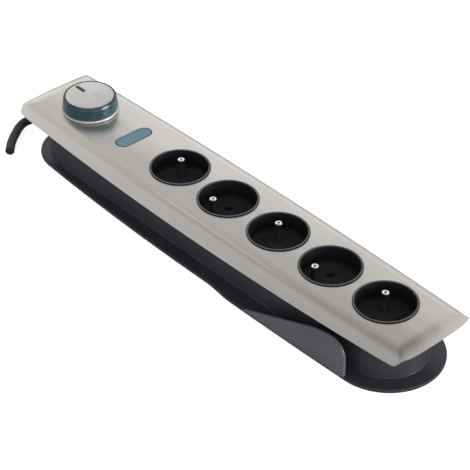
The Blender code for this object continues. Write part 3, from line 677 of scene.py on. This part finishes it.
def sheet(depth, thickness, width_share, length_share, name):
    """Fine grid over the plate's shape, thickened downwards."""
    side = stations([(0.0, 0.56, 6), (0.56, 0.90, 22), (0.90, 1.0, 6)])
    end = stations([(0.0, 0.90, 40), (0.90, 0.985, 18), (0.985, 1.0, 4)])
    shares = [-s for s in reversed(side[1:])] + side
    runs = [-s for s in reversed(end[1:])] + end
    work = bmesh.new()
    rows = []
    for share in shares:
        row = []
        for run in runs:
            x = run * length_share * plate_half_length(share * width_share)
            y = share * width_share * plate_half_width(x)
            row.append(work.verts.new(plate_point(x, y, depth) * MM))
        rows.append(row)
    for low, high in zip(rows, rows[1:]):
        for i in range(len(runs) - 1):
            work.faces.new((low[i], low[i + 1], high[i + 1], high[i]))
    return solidified(to_mesh(work, name), thickness)


def opening_tools(lens_gap):
    """Cutters for the wells, the spindle and the lens."""
    tools = [prism(circle(x, 0, WELL_HOLE_RADIUS, 96), 30, 50) for x in WELL_CENTRES]
    tools.append(prism(circle(KNOB_X, 0, SPINDLE_HOLE_RADIUS, 48), 30, 50))
    lens = pill(LENS_X, LENS_HALF_WIDTH + lens_gap, LENS_HALF_LENGTH + lens_gap)
    tools.append(prism(lens, 30, 50))
    return tools


def add_edge_bevel(obj, width):
    """Small rounding along an object's sharp edges."""
    bevel = obj.modifiers.new("Edges", "BEVEL")
    bevel.width = width * MM
    bevel.segments = 2
    bevel.limit_method = "ANGLE"
    bevel.angle_limit = math.radians(40)
    bevel.harden_normals = True


def build_plate():
    """Steel plate, and the housing under it with its lip and screw bosses."""
    mesh = boolean(sheet(0.0, PLATE_THICK, 1.0, 1.0, "plate"), opening_tools(0.3))
    plate = finish_piece("plate_surface", mesh, STEEL, "strip", ["top_plate"], 40)
    add_edge_bevel(plate, 0.18)
    depth = PLATE_THICK + SHEET_GAP
    mesh = boolean(sheet(depth, HOUSING_THICK, 0.945, 0.985, "housing"), opening_tools(0.4))
    lip_outer = WAIST_RADIUS - WAIST_WALL - 0.3
    lip_inner = lip_outer - LIP_THICK
    lip = [[(x, y, height) for x, y in stadium(WAIST_LEFT, WAIST_RIGHT, radius)]
           for radius, height in ((lip_outer, HOUSING_UNDERSIDE), (lip_outer, LIP_BOTTOM),
                                  (lip_inner, LIP_BOTTOM), (lip_inner, HOUSING_UNDERSIDE))]
    bosses = [to_mesh(band(lip), "lip")]
    for i in range(6):
        work = lathe([(BOSS_BORE_RADIUS, BOSS_BOTTOM), (BOSS_RADIUS, BOSS_BOTTOM),
                      (BOSS_RADIUS, HOUSING_UNDERSIDE), (BOSS_BORE_RADIUS, HOUSING_UNDERSIDE)],
                     32, True, middle_of(f"housing_screw_{i + 1}"))
        bosses.append(to_mesh(work, "boss"))
    mesh = boolean(mesh, bosses, "UNION")
    finish_piece("housing_shell", mesh, UNDER, "strip", ["upper_housing"], 40)


# ---------------------------------------------------------------- foot

def foot_half_width(x):
    """Half width of the foot's flange: a barrel that widens at the guide walls."""
    barrel = 37.8 - 2.2e-4 * (x + 2.0) ** 2
    wide = 39.95 - 1.25e-4 * (x - 38.0) ** 2
    blend = min(1.0, max(0.0, (x - 17.0) / 28.0))
    blend = blend * blend * (3 - 2 * blend)
    return barrel + (wide - barrel) * blend


ARC_STEPS = 40
SIDE_STEPS = 90


def foot_ring(inset, height):
    """Foot outline moved inwards, with the same point count as waist_ring."""
    points = arc(FOOT_LEFT, 0, FOOT_LEFT_RADIUS - inset, 90, 270, ARC_STEPS)
    for i in range(1, SIDE_STEPS):
        x = FOOT_LEFT + (FOOT_RIGHT - FOOT_LEFT) * i / SIDE_STEPS
        points.append((x, -(foot_half_width(x) - inset)))
    points += arc(FOOT_RIGHT, 0, FOOT_RIGHT_RADIUS - inset, -90, 90, ARC_STEPS)
    for i in range(SIDE_STEPS - 1, 0, -1):
        x = FOOT_LEFT + (FOOT_RIGHT - FOOT_LEFT) * i / SIDE_STEPS
        points.append((x, foot_half_width(x) - inset))
    return [(x, y, height) for x, y in points]


def waist_ring(radius, height):
    """Outline of the foot's waist."""
    points = arc(WAIST_LEFT, 0, radius, 90, 270, ARC_STEPS)
    for i in range(1, SIDE_STEPS):
        points.append((WAIST_LEFT + (WAIST_RIGHT - WAIST_LEFT) * i / SIDE_STEPS, -radius))
    points += arc(WAIST_RIGHT, 0, radius, -90, 90, ARC_STEPS)
    for i in range(SIDE_STEPS - 1, 0, -1):
        points.append((WAIST_LEFT + (WAIST_RIGHT - WAIST_LEFT) * i / SIDE_STEPS, radius))
    return [(x, y, height) for x, y in points]


def guide_top():
    """Top line of a guide wall as (x, height) points: ramp, crest and end corner."""
    ramp_end = (GUIDE_STRAIGHT_END, (GUIDE_STRAIGHT_END - GUIDE_START) * math.tan(GUIDE_RAMP))
    crest_radius = (GUIDE_CREST - GUIDE_STRAIGHT_END) / math.sin(GUIDE_RAMP)
    crest_centre = ramp_end[1] - crest_radius * math.cos(GUIDE_RAMP)
    crest = arc(GUIDE_CREST, crest_centre, crest_radius, 90 + math.degrees(GUIDE_RAMP), 90, 12)
    corner_radius = GUIDE_END - GUIDE_CREST
    corner = arc(GUIDE_CREST, crest[-1][1] - corner_radius, corner_radius, 90, 0, 20)
    start = GUIDE_START + GUIDE_TOE / math.tan(GUIDE_RAMP)
    ramp = []
    for i in range(40):
        x = start + (GUIDE_STRAIGHT_END - start) * i / 40
        ramp.append((x, (x - GUIDE_START) * math.tan(GUIDE_RAMP)))
    return ramp + crest + corner[1:]


def guide_wall_mesh(side):
    """Guide wall: its outer face follows the foot's outline and its top edge is rounded."""
    top = guide_top()
    edge = GUIDE_EDGE
    work = bmesh.new()
    columns = []
    for index, (x, height) in enumerate(top):
        before = top[max(0, index - 1)]
        after = top[min(len(top) - 1, index + 1)]
        tangent = Vector((after[0] - before[0], after[1] - before[1])).normalized()
        normal = Vector((-tangent.y, tangent.x))
        section = []
        for dy, sink in ((0.0, None), (0.0, edge), (edge * 0.3, edge * 0.3), (edge, 0.0),
                         (GUIDE_THICK - edge, 0.0), (GUIDE_THICK - edge * 0.3, edge * 0.3),
                         (GUIDE_THICK, edge), (GUIDE_THICK, None)):
            if sink is None:
                place = (x, GUIDE_BASE)
            else:
                place = (x - normal.x * sink, max(GUIDE_BASE, height - normal.y * sink))
            y = side * (foot_half_width(min(place[0], FOOT_RIGHT)) - dy)
            section.append(work.verts.new(Vector((place[0], y, place[1])) * MM))
        columns.append(section)
    for first, second in zip(columns, columns[1:]):
        bridge(work, first, second)
    work.faces.new(columns[0][::-1])
    work.faces.new(columns[-1])
    bmesh.ops.remove_doubles(work, verts=work.verts, dist=1e-7)
    return to_mesh(work, "guide_wall")


def build_foot():
    """Foot with its flange, hollow waist, screw and pad holes, and the two guide walls."""
    rings = [foot_ring(0.7, 0.0), foot_ring(0.25, 0.12), foot_ring(0.0, 0.6), foot_ring(0.0, 1.7)]
    for angle in (30, 60, 90):
        a = math.radians(angle)
        rings.append(foot_ring(FLANGE_ROUND * (1 - math.cos(a)),
                               FLANGE_TOP - FLANGE_ROUND + FLANGE_ROUND * math.sin(a)))
    for angle in (0, 22, 45, 67, 90):
        a = math.radians(angle)
        rings.append(waist_ring(WAIST_RADIUS + WAIST_FILLET * (1 - math.sin(a)),
                                FLANGE_TOP + WAIST_FILLET * (1 - math.cos(a))))
    inner = WAIST_RADIUS - WAIST_WALL
    for radius, height in ((WAIST_RADIUS, WAIST_TOP - 0.5), (WAIST_RADIUS - 0.15, WAIST_TOP - 0.1),
                           (WAIST_RADIUS - 0.5, WAIST_TOP), (inner + 0.3, WAIST_TOP),
                           (inner, WAIST_TOP - 0.4), (inner, TUB_FLOOR)):
        rings.append(waist_ring(radius, height))
    mesh = to_mesh(loft(rings), "foot")
    mouth = SCREW_HOLE_RADIUS + 0.5
    head = [(0, SCREW_HOLE_TOP), (SCREW_HOLE_RADIUS, SCREW_HOLE_TOP), (SCREW_HOLE_RADIUS, 0.4),
            (mouth, -0.1), (mouth, -1), (0, -1)]
    pocket = [(0, PAD_POCKET_TOP), (PAD_POCKET_RADIUS, PAD_POCKET_TOP), (PAD_POCKET_RADIUS, -1),
              (0, -1)]
    tools = []
    for i in range(6):
        centre = middle_of(f"housing_screw_{i + 1}")
        tools.append(to_mesh(lathe(head, 48, False, centre), "head_hole"))
    for i in range(4):
        centre = middle_of(f"rubber_foot_{i + 1}")
        tools.append(to_mesh(lathe(pocket, 64, False, centre), "foot_pocket"))
    grommet_low, grommet_high = box_mm("cable_grommet")
    cable_z = (grommet_low.z + grommet_high.z) / 2
    hole = lathe([(0, 8), (CABLE_HOLE_RADIUS, 8), (CABLE_HOLE_RADIUS, -8), (0, -8)], 48)
    bmesh.ops.rotate(hole, verts=hole.verts, matrix=Matrix.Rotation(math.pi / 2, 3, "Y"))
    bmesh.ops.translate(hole, verts=hole.verts, vec=Vector((CABLE_HOLE_X, 0, cable_z)) * MM)
    tools.append(to_mesh(hole, "cable_hole"))
    mesh = boolean(mesh, tools)
    finish_piece("foot_shell", mesh, CASING, "strip", ["foot_tub"], 30)
    for side, name in ((-1, "guide_wall_near"), (1, "guide_wall_far")):
        finish_piece(name, guide_wall_mesh(side), GUIDE_PAINTED_LIGHT, "strip", (), 35)


# ---------------------------------------------------------------- wells

def well_profile():
    """Section of a well, from the middle of its floor over the rim to its underside."""
    floor = rounded_profile([(0.0, WELL_FLOOR), (WELL_RADIUS - 0.4, WELL_FLOOR),
                             (WELL_RADIUS, RIM_TOP - 0.7)], 0.8, 5)
    rim = rounded_profile([(WELL_RADIUS, RIM_TOP - 0.7), (WELL_RADIUS + 0.3, RIM_TOP - 0.06),
                           (RIM_RADIUS - 0.1, RIM_TOP - 0.12), (RIM_RADIUS, RIM_FOOT)], 0.2, 3)
    outer = WELL_RADIUS + 1.0
    skirt = [(outer, SKIRT_TOP), (outer, WELL_BOTTOM), (0.0, WELL_BOTTOM)]
    return floor + rim[1:] + skirt


def collar_profile():
    """Section of the thin grey collar on a well's rim."""
    return rounded_profile([(WELL_RADIUS + 0.3, RIM_TOP - 0.3), (WELL_RADIUS + 0.4, RIM_TOP),
                            (RIM_RADIUS - 0.5, RIM_TOP), (RIM_RADIUS - 0.4, RIM_TOP - 0.3),
                            (WELL_RADIUS + 0.6, RIM_TOP - 0.4)], 0.12, 3)


def pin_profile(tip):
    """Section of an earth pin with a centre mark, a rounded tip and a thin foot."""
    profile = [(0.0, tip - 1.3), (0.7, tip - 1.25), (0.88, tip - 0.4), (0.98, tip - 0.04),
               (1.15, tip), (1.6, tip - 0.05)]
    for k in range(1, 6):
        angle = math.radians(90 * k / 5)
        profile.append((1.8 + (PIN_RADIUS - 1.8) * math.sin(angle),
                        tip - 0.1 - 0.6 * (1 - math.cos(angle))))
    return profile + [(PIN_RADIUS, 19.5), (1.2, 19.3), (1.2, PIN_FOOT), (0.0, PIN_FOOT)]


def hole_profile(radius):
    """Section of a cutter for a hole in a well's floor, with a chamfered mouth."""
    return [(0, WELL_FLOOR + 1), (radius + 0.5, WELL_FLOOR + 1), (radius + 0.5, WELL_FLOOR),
            (radius, WELL_FLOOR - 0.6), (radius, 20), (0, 20)]


def build_wells():
    """Wells turned alternately by 45 and 135 degrees, each with its collar and earth pin."""
    holes = (((-PIN_SPREAD, 0), PIN_HOLE_RADIUS), ((PIN_SPREAD, 0), PIN_HOLE_RADIUS),
             ((0, EARTH_OFFSET), PIN_RADIUS + 0.25))
    for i, cx in enumerate(WELL_CENTRES):
        turn = math.radians(45 if i % 2 == 0 else 135)
        body = to_mesh(lathe(well_profile(), 96, False, (cx, 0)), "well")
        tools = []
        for local, radius in holes:
            dx = local[0] * math.cos(turn) - local[1] * math.sin(turn)
            dy = local[0] * math.sin(turn) + local[1] * math.cos(turn)
            cutter = lathe(hole_profile(radius), 40, False, (cx + dx, dy))
            tools.append(to_mesh(cutter, "pin_hole"))
        finish_piece(f"well_{i + 1}", boolean(body, tools), WELL_BLACK, "strip",
                     [f"socket_well_{i + 1}"], 28)
        collar = to_mesh(lathe(collar_profile(), 96, True, (cx, 0)), "collar")
        finish_piece(f"well_collar_{i + 1}", collar, COLLAR, "strip", (), 30)
        node = f"earth_pin_{i + 1}"
        pin = to_mesh(lathe(pin_profile(box_mm(node)[1].z), 40, False, middle_of(node)), "pin")
        finish_piece(f"earth_contact_{i + 1}", pin, PIN_METAL_AND_SHADE, "strip", [node], 30)


# ---------------------------------------------------------------- knob and lens

def build_knob():
    """Seat, translucent skirt with its darker lip, steel face and black pointer."""
    centre = (KNOB_X, 0)
    seat_low, seat_high = box_mm("knob_base_ring")
    seat_radius = (seat_high.x - seat_low.x) / 2
    seat = rounded_profile([(9.6, seat_high.z), (seat_radius - 0.8, seat_high.z),
                            (seat_radius - 0.2, seat_high.z - 0.6), (seat_radius, seat_low.z),
                            (9.6, seat_low.z)], 0.5, 4)
    finish_piece("knob_seat", to_mesh(lathe(seat, 96, True, centre), "seat"), SATIN, "strip",
                 ["knob_base_ring"], 30)
    top = knob_high.z
    low = knob_low.z
    outer = (knob_high.x - knob_low.x) / 2
    skirt = rounded_profile([(17.45, top - 1.15), (17.45, top - 0.35), (17.95, top),
                             (18.45, top - 0.45), (19.15, top - 2.2), (outer, low + 0.5),
                             (outer - 0.3, low), (18.3, low), (17.2, top - 2.8), (5.5, top - 2.8),
                             (5.5, low + 0.4), (3.3, low + 0.4), (3.3, top - 1.15)], 0.4, 4)
    finish_piece("knob_skirt", to_mesh(lathe(skirt, 128, True, centre), "skirt"), KNOB_BLUE,
                 "knob", ["knob_ring"], 30)
    lip = rounded_profile([(17.5, top - 0.9), (17.5, top - 0.3), (17.95, top + 0.02),
                           (18.5, top - 0.42), (18.75, top - 0.9)], 0.2, 3)
    finish_piece("knob_lip", to_mesh(lathe(lip, 128, True, centre), "lip"), KNOB_LIP, "knob",
                 (), 30)
    disc_low, disc_high = box_mm("knob_disc")
    disc_radius = (disc_high.x - disc_low.x) / 2
    disc = rounded_profile([(0.0, disc_high.z), (disc_radius - 0.25, disc_high.z),
                            (disc_radius, disc_high.z - 0.25), (disc_radius, disc_low.z),
                            (0.0, disc_low.z)], 0.2, 3)
    point_low, point_high = box_mm("knob_pointer")
    slot = rounded_rectangle(point_low.x - 0.15, point_high.x + 0.15, point_low.y - 0.15,
                             point_high.y + 0.15, 0.5)
    mesh = boolean(to_mesh(lathe(disc, 128, False, centre), "disc"),
                   [prism(slot, POINTER_SLOT_FLOOR, POINTER_SLOT_TOP)])
    finish_piece("knob_face", mesh, DISC_STEEL, "knob", ["knob_disc"], 30)
    bar = rounded_rectangle(point_low.x, point_high.x, point_low.y, point_high.y, 0.4)
    middle = (point_low.x + point_high.x) / 2
    work = loft([[(x, y, point_low.z) for x, y in bar],
                 [(x, y, point_high.z - 0.1) for x, y in bar],
                 [(x * 0.997 + middle * 0.003, y * 0.9, point_high.z) for x, y in bar]])
    finish_piece("pointer_mark", to_mesh(work, "pointer"), BLACK_MARK, "knob",
                 ["knob_pointer"], 30)


def lens_ring(inset, height):
    return [(x, y, height)
            for x, y in pill(LENS_X, LENS_HALF_WIDTH - inset, LENS_HALF_LENGTH - inset)]


def build_lens():
    """Pill-shaped lens with a groove inside its darker edge."""
    top = lens_high.z
    cap = [(0.0, lens_low.z), (0.0, top - 0.3), (0.1, top - 0.2), (0.5, top - 0.15),
           (0.62, top - 0.1), (0.9, top - 0.02), (1.6, top), (3.2, top)]
    edge = [(0.0, top - 0.35), (0.0, top - 0.12), (0.08, top - 0.04), (0.45, top - 0.04),
            (0.55, top - 0.12), (0.55, top - 0.35)]
    cap_mesh = to_mesh(loft([lens_ring(*step) for step in cap]), "lens")
    finish_piece("lens_cap", cap_mesh, LENS_BLUE, "strip", ["pilot_lens"], 30)
    edge_mesh = to_mesh(band([lens_ring(*step) for step in edge]), "lens_edge")
    finish_piece("lens_edge", edge_mesh, LENS_EDGE, "strip", (), 40)


# ---------------------------------------------------------------- cable

def smooth_path(points, steps):
    """Smooth curve through points, with the given number of steps between them."""
    spots = [Vector(p) for p in points]
    spots = [2 * spots[0] - spots[1]] + spots + [2 * spots[-1] - spots[-2]]
    path = []
    for i in range(1, len(spots) - 2):
        p0, p1, p2, p3 = spots[i - 1:i + 3]
        for k in range(steps):
            t = k / steps
            path.append(0.5 * ((2 * p1) + (p2 - p0) * t + (2 * p0 - 5 * p1 + 4 * p2 - p3) * t * t
                               + (3 * p1 - p0 - 3 * p2 + p3) * t ** 3))
    path.append(spots[-2])
    return path


def tube(path, radius, segments):
    """Round tube along a path, closed flat at both ends."""
    rings = []
    up = Vector((0, 0, 1))
    last = len(path) - 1
    for i, point in enumerate(path):
        tangent = (path[min(last, i + 1)] - path[max(0, i - 1)]).normalized()
        side = tangent.cross(up).normalized()
        rise = side.cross(tangent).normalized()
        rings.append([point + radius * (math.cos(a) * side + math.sin(a) * rise)
                      for a in (2 * math.pi * k / segments for k in range(segments))])
    return loft(rings)


CABLE_ROUTE = [(-163.5, 0, CABLE_HEIGHT), (-175, 0, CABLE_HEIGHT), (-186, 0, CABLE_HEIGHT),
               (-196.5, -1.2, 8.4), (-205.0, -6.2, 6.2), (-208.8, -14.0, 4.6),
               (-207.2, -21.0, 3.8), (-203.6, -26.8, 3.4), (-199.0, -33.0, 3.4),
               (-193.6, -39.0, 3.4), (-187.5, -44.6, 3.4)]


def build_cable():
    """Cord from the switch end to its cut end on the desk, and the ribbed grommet round it."""
    path = smooth_path(CABLE_ROUTE, 8)
    finish_piece("cable_sheath_fine", to_mesh(tube(path, CABLE_RADIUS, 32), "cable"), CABLE,
                 "strip", ["mains_cable"], 40)
    bore = CABLE_RADIUS + 0.3
    profile = [(bore, 184.0), (4.4, 184.0)]
    for i in range(5):
        start = 183.6 - i * 0.85
        foot = 4.6 + 0.32 * i
        profile += [(foot, start), (foot + 0.35, start - 0.2), (foot + 0.35, start - 0.55),
                    (foot, start - 0.7)]
    profile += [(6.4, 179.4), (6.4, 179.2), (5.0, 179.2), (5.0, 172.8), (bore, 172.8)]
    work = lathe(profile, 48, True)
    bmesh.ops.rotate(work, verts=work.verts, matrix=Matrix.Rotation(-math.pi / 2, 3, "Y"))
    bmesh.ops.translate(work, verts=work.verts, vec=Vector((0, 0, CABLE_HEIGHT * MM)))
    finish_piece("grommet_ribbed", to_mesh(work, "grommet"), CABLE, "strip",
                 ["cable_grommet"], 30)


# ---------------------------------------------------------------- carried-over CAD nodes

def paint(node, material):
    """Give a CAD node one material."""
    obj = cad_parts[node]
    for slot_item in obj.material_slots:
        slot_item.link = "DATA"
        slot_item.material = material
    if not obj.material_slots:
        obj.data.materials.append(material)


def paint_cad_nodes():
    """Materials of the CAD nodes that are shown as they are."""
    looks = {
        "switch_spindle": ZINC, "switch_body": INNER_WHITE, "switch_rotor": SHUTTER_BLACK,
        "wiper_contact": BRASS, "switch_terminal_in": BRASS, "switch_terminal_out": BRASS,
        "pilot_lamp": INNER_WHITE, "pilot_board": BOARD, "cord_clamp": UNDER,
        "clamp_screw_1": ZINC, "clamp_screw_2": ZINC, "shutter_guide": INNER_WHITE,
        "live_busbar": BRASS, "neutral_busbar": BRASS, "earth_busbar": BRASS,
    }
    looks.update(CORES)
    for i in range(1, 6):
        looks[f"safety_shutter_{i}"] = SHUTTER_BLACK
    for i in range(1, 7):
        looks[f"housing_screw_{i}"] = ZINC
    for i in range(1, 5):
        looks[f"rubber_foot_{i}"] = PAD
    for node, material in looks.items():
        paint(node, material)


# ---------------------------------------------------------------- studio

def build_floor():
    """Flat white floor. It looks even to the camera; to reflected rays it is painted shade,
    darkest just behind the strip and lighter farther back.
    """
    work = bmesh.new()
    size = 3.0
    below = -0.0003
    verts = [work.verts.new((x, y, below)) for x, y in
             ((-size, -size), (size, -size), (size, size), (-size, size))]
    work.faces.new(verts)
    mesh = to_mesh(work, "floor")
    n = Nodes("floor_white")
    cloud = n.noise(n.place(), 2.0, 2.0, 0.5)
    paper = n.mix(n.ramp(cloud, 0.3, 0.7, 0.0, 1.0), (0.90, 0.90, 0.90), (0.92, 0.92, 0.92))
    seen = n.add("ShaderNodeLightPath").outputs["Is Camera Ray"]
    across = n.axes()["Y"]
    # Painted shade for reflected rays: darker beside the strip, darkest just behind it, lighter
    # from 0.2 m back
    beside = n.ramp(across, -0.03, 0.03, 0.57, 0.48)
    behind = n.ramp(across, 0.10, 0.20, 0.0, 0.38)
    reflected_painted_shade = n.mix(n.math("ADD", beside, behind), (0.0, 0.0, 0.0), (1.0, 1.0, 1.0))
    n.set(Base_Color=n.mix(seen, reflected_painted_shade, paper), Roughness=0.75,
          Emission_Color=(1.0, 1.0, 1.0), Emission_Strength=n.ramp(seen, 0.0, 1.0, 0.0, 0.75),
          Specular_IOR_Level=0.2)
    mesh.materials.append(n.material)
    floor = bpy.data.objects.new("studio_floor", mesh)
    bpy.context.scene.collection.objects.link(floor)


class Sky:
    """Soft studio surround: brightness as a function of direction."""

    def __init__(self, world):
        self.tree = world.node_tree
        self.coords = self.tree.nodes.new("ShaderNodeTexCoord").outputs["Generated"]
        split = self.tree.nodes.new("ShaderNodeSeparateXYZ")
        self.tree.links.new(self.coords, split.inputs["Vector"])
        self.x, self.y, self.z = split.outputs

    def ramp(self, value, low, high, to_low, to_high):
        node = self.tree.nodes.new("ShaderNodeMapRange")
        node.interpolation_type = "SMOOTHSTEP"
        self.tree.links.new(value, node.inputs["Value"])
        for key, number in (("From Min", low), ("From Max", high), ("To Min", to_low),
                            ("To Max", to_high)):
            node.inputs[key].default_value = number
        return node.outputs["Result"]

    def lobe(self, direction, low, high, to_low, to_high):
        """Ramp on how close a ray is to a direction."""
        node = self.tree.nodes.new("ShaderNodeVectorMath")
        node.operation = "DOT_PRODUCT"
        self.tree.links.new(self.coords, node.inputs[0])
        node.inputs[1].default_value = Vector(direction).normalized()
        return self.ramp(node.outputs["Value"], low, high, to_low, to_high)

    def combine(self, operation, a, b):
        node = self.tree.nodes.new("ShaderNodeMath")
        node.operation = operation
        self.tree.links.new(a, node.inputs[0])
        self.tree.links.new(b, node.inputs[1])
        return node.outputs["Value"]


def build_light():
    """Surround with dark gaps and a low bright patch that the steel reflects."""
    world = bpy.data.worlds.new("studio")
    world.use_nodes = True
    bpy.context.scene.world = world
    sky = Sky(world)
    side = sky.ramp(sky.x, -0.70, -0.45, 1.0, 0.87)
    overhead = sky.ramp(sky.z, 0.40, 0.85, 1.05, 0.88)
    gap = sky.lobe((-0.20, -0.60, 0.775), 0.76, 0.94, 1.0, 0.45)
    shade = sky.lobe((-0.30, 0.35, 0.88), 0.88, 0.98, 1.0, 0.60)
    zenith = sky.lobe((0.05, -0.11, 0.99), 0.74, 0.90, 1.0, 0.42)
    fill = sky.lobe(CAMERA_BACK, 0.55, 0.95, 0.0, 0.35)
    rear = sky.lobe((0.90, 0.42, 0.02), 0.93, 0.995, 0.0, 15.0)
    horizon = sky.ramp(sky.z, 0.05, 0.40, 1.20, 1.0)
    level = side
    for factor in (overhead, gap, zenith, shade, horizon):
        level = sky.combine("MULTIPLY", level, factor)
    level = sky.combine("ADD", sky.combine("ADD", level, fill), rear)
    seen = world.node_tree.nodes.new("ShaderNodeLightPath").outputs["Is Camera Ray"]
    level = sky.combine("MAXIMUM", level, seen)
    background = world.node_tree.nodes["Background"]
    background.inputs["Color"].default_value = (1.0, 1.0, 1.0, 1.0)
    world.node_tree.links.new(level, background.inputs["Strength"])
    bpy.context.scene.view_settings.view_transform = "Standard"


def view_back(azimuth, elevation):
    """Direction from the object to a viewer; azimuth 0 looks along +Y."""
    return Vector((math.sin(azimuth) * math.cos(elevation),
                   -math.cos(azimuth) * math.cos(elevation), math.sin(elevation)))


CAMERA_BACK = view_back(math.radians(47.816), math.radians(37.298))
CAMERA_DISTANCE = 1.23216
CAMERA_AIM = Vector((30.5, -22.1, 38.5)) * MM


def build_camera():
    """Long lens from the near right, raised 37 degrees."""
    data = bpy.data.cameras.new("camera")
    data.sensor_width = 36.0
    data.lens = 144.9
    obj = bpy.data.objects.new("camera", data)
    obj.location = CAMERA_AIM + CAMERA_BACK * CAMERA_DISTANCE
    obj.rotation_euler = CAMERA_BACK.to_track_quat("Z", "Y").to_euler()
    bpy.context.scene.collection.objects.link(obj)
    bpy.context.scene.camera = obj


build_plate()
build_foot()
build_wells()
build_knob()
build_lens()
build_cable()
paint_cad_nodes()
build_floor()
build_light()
build_camera()
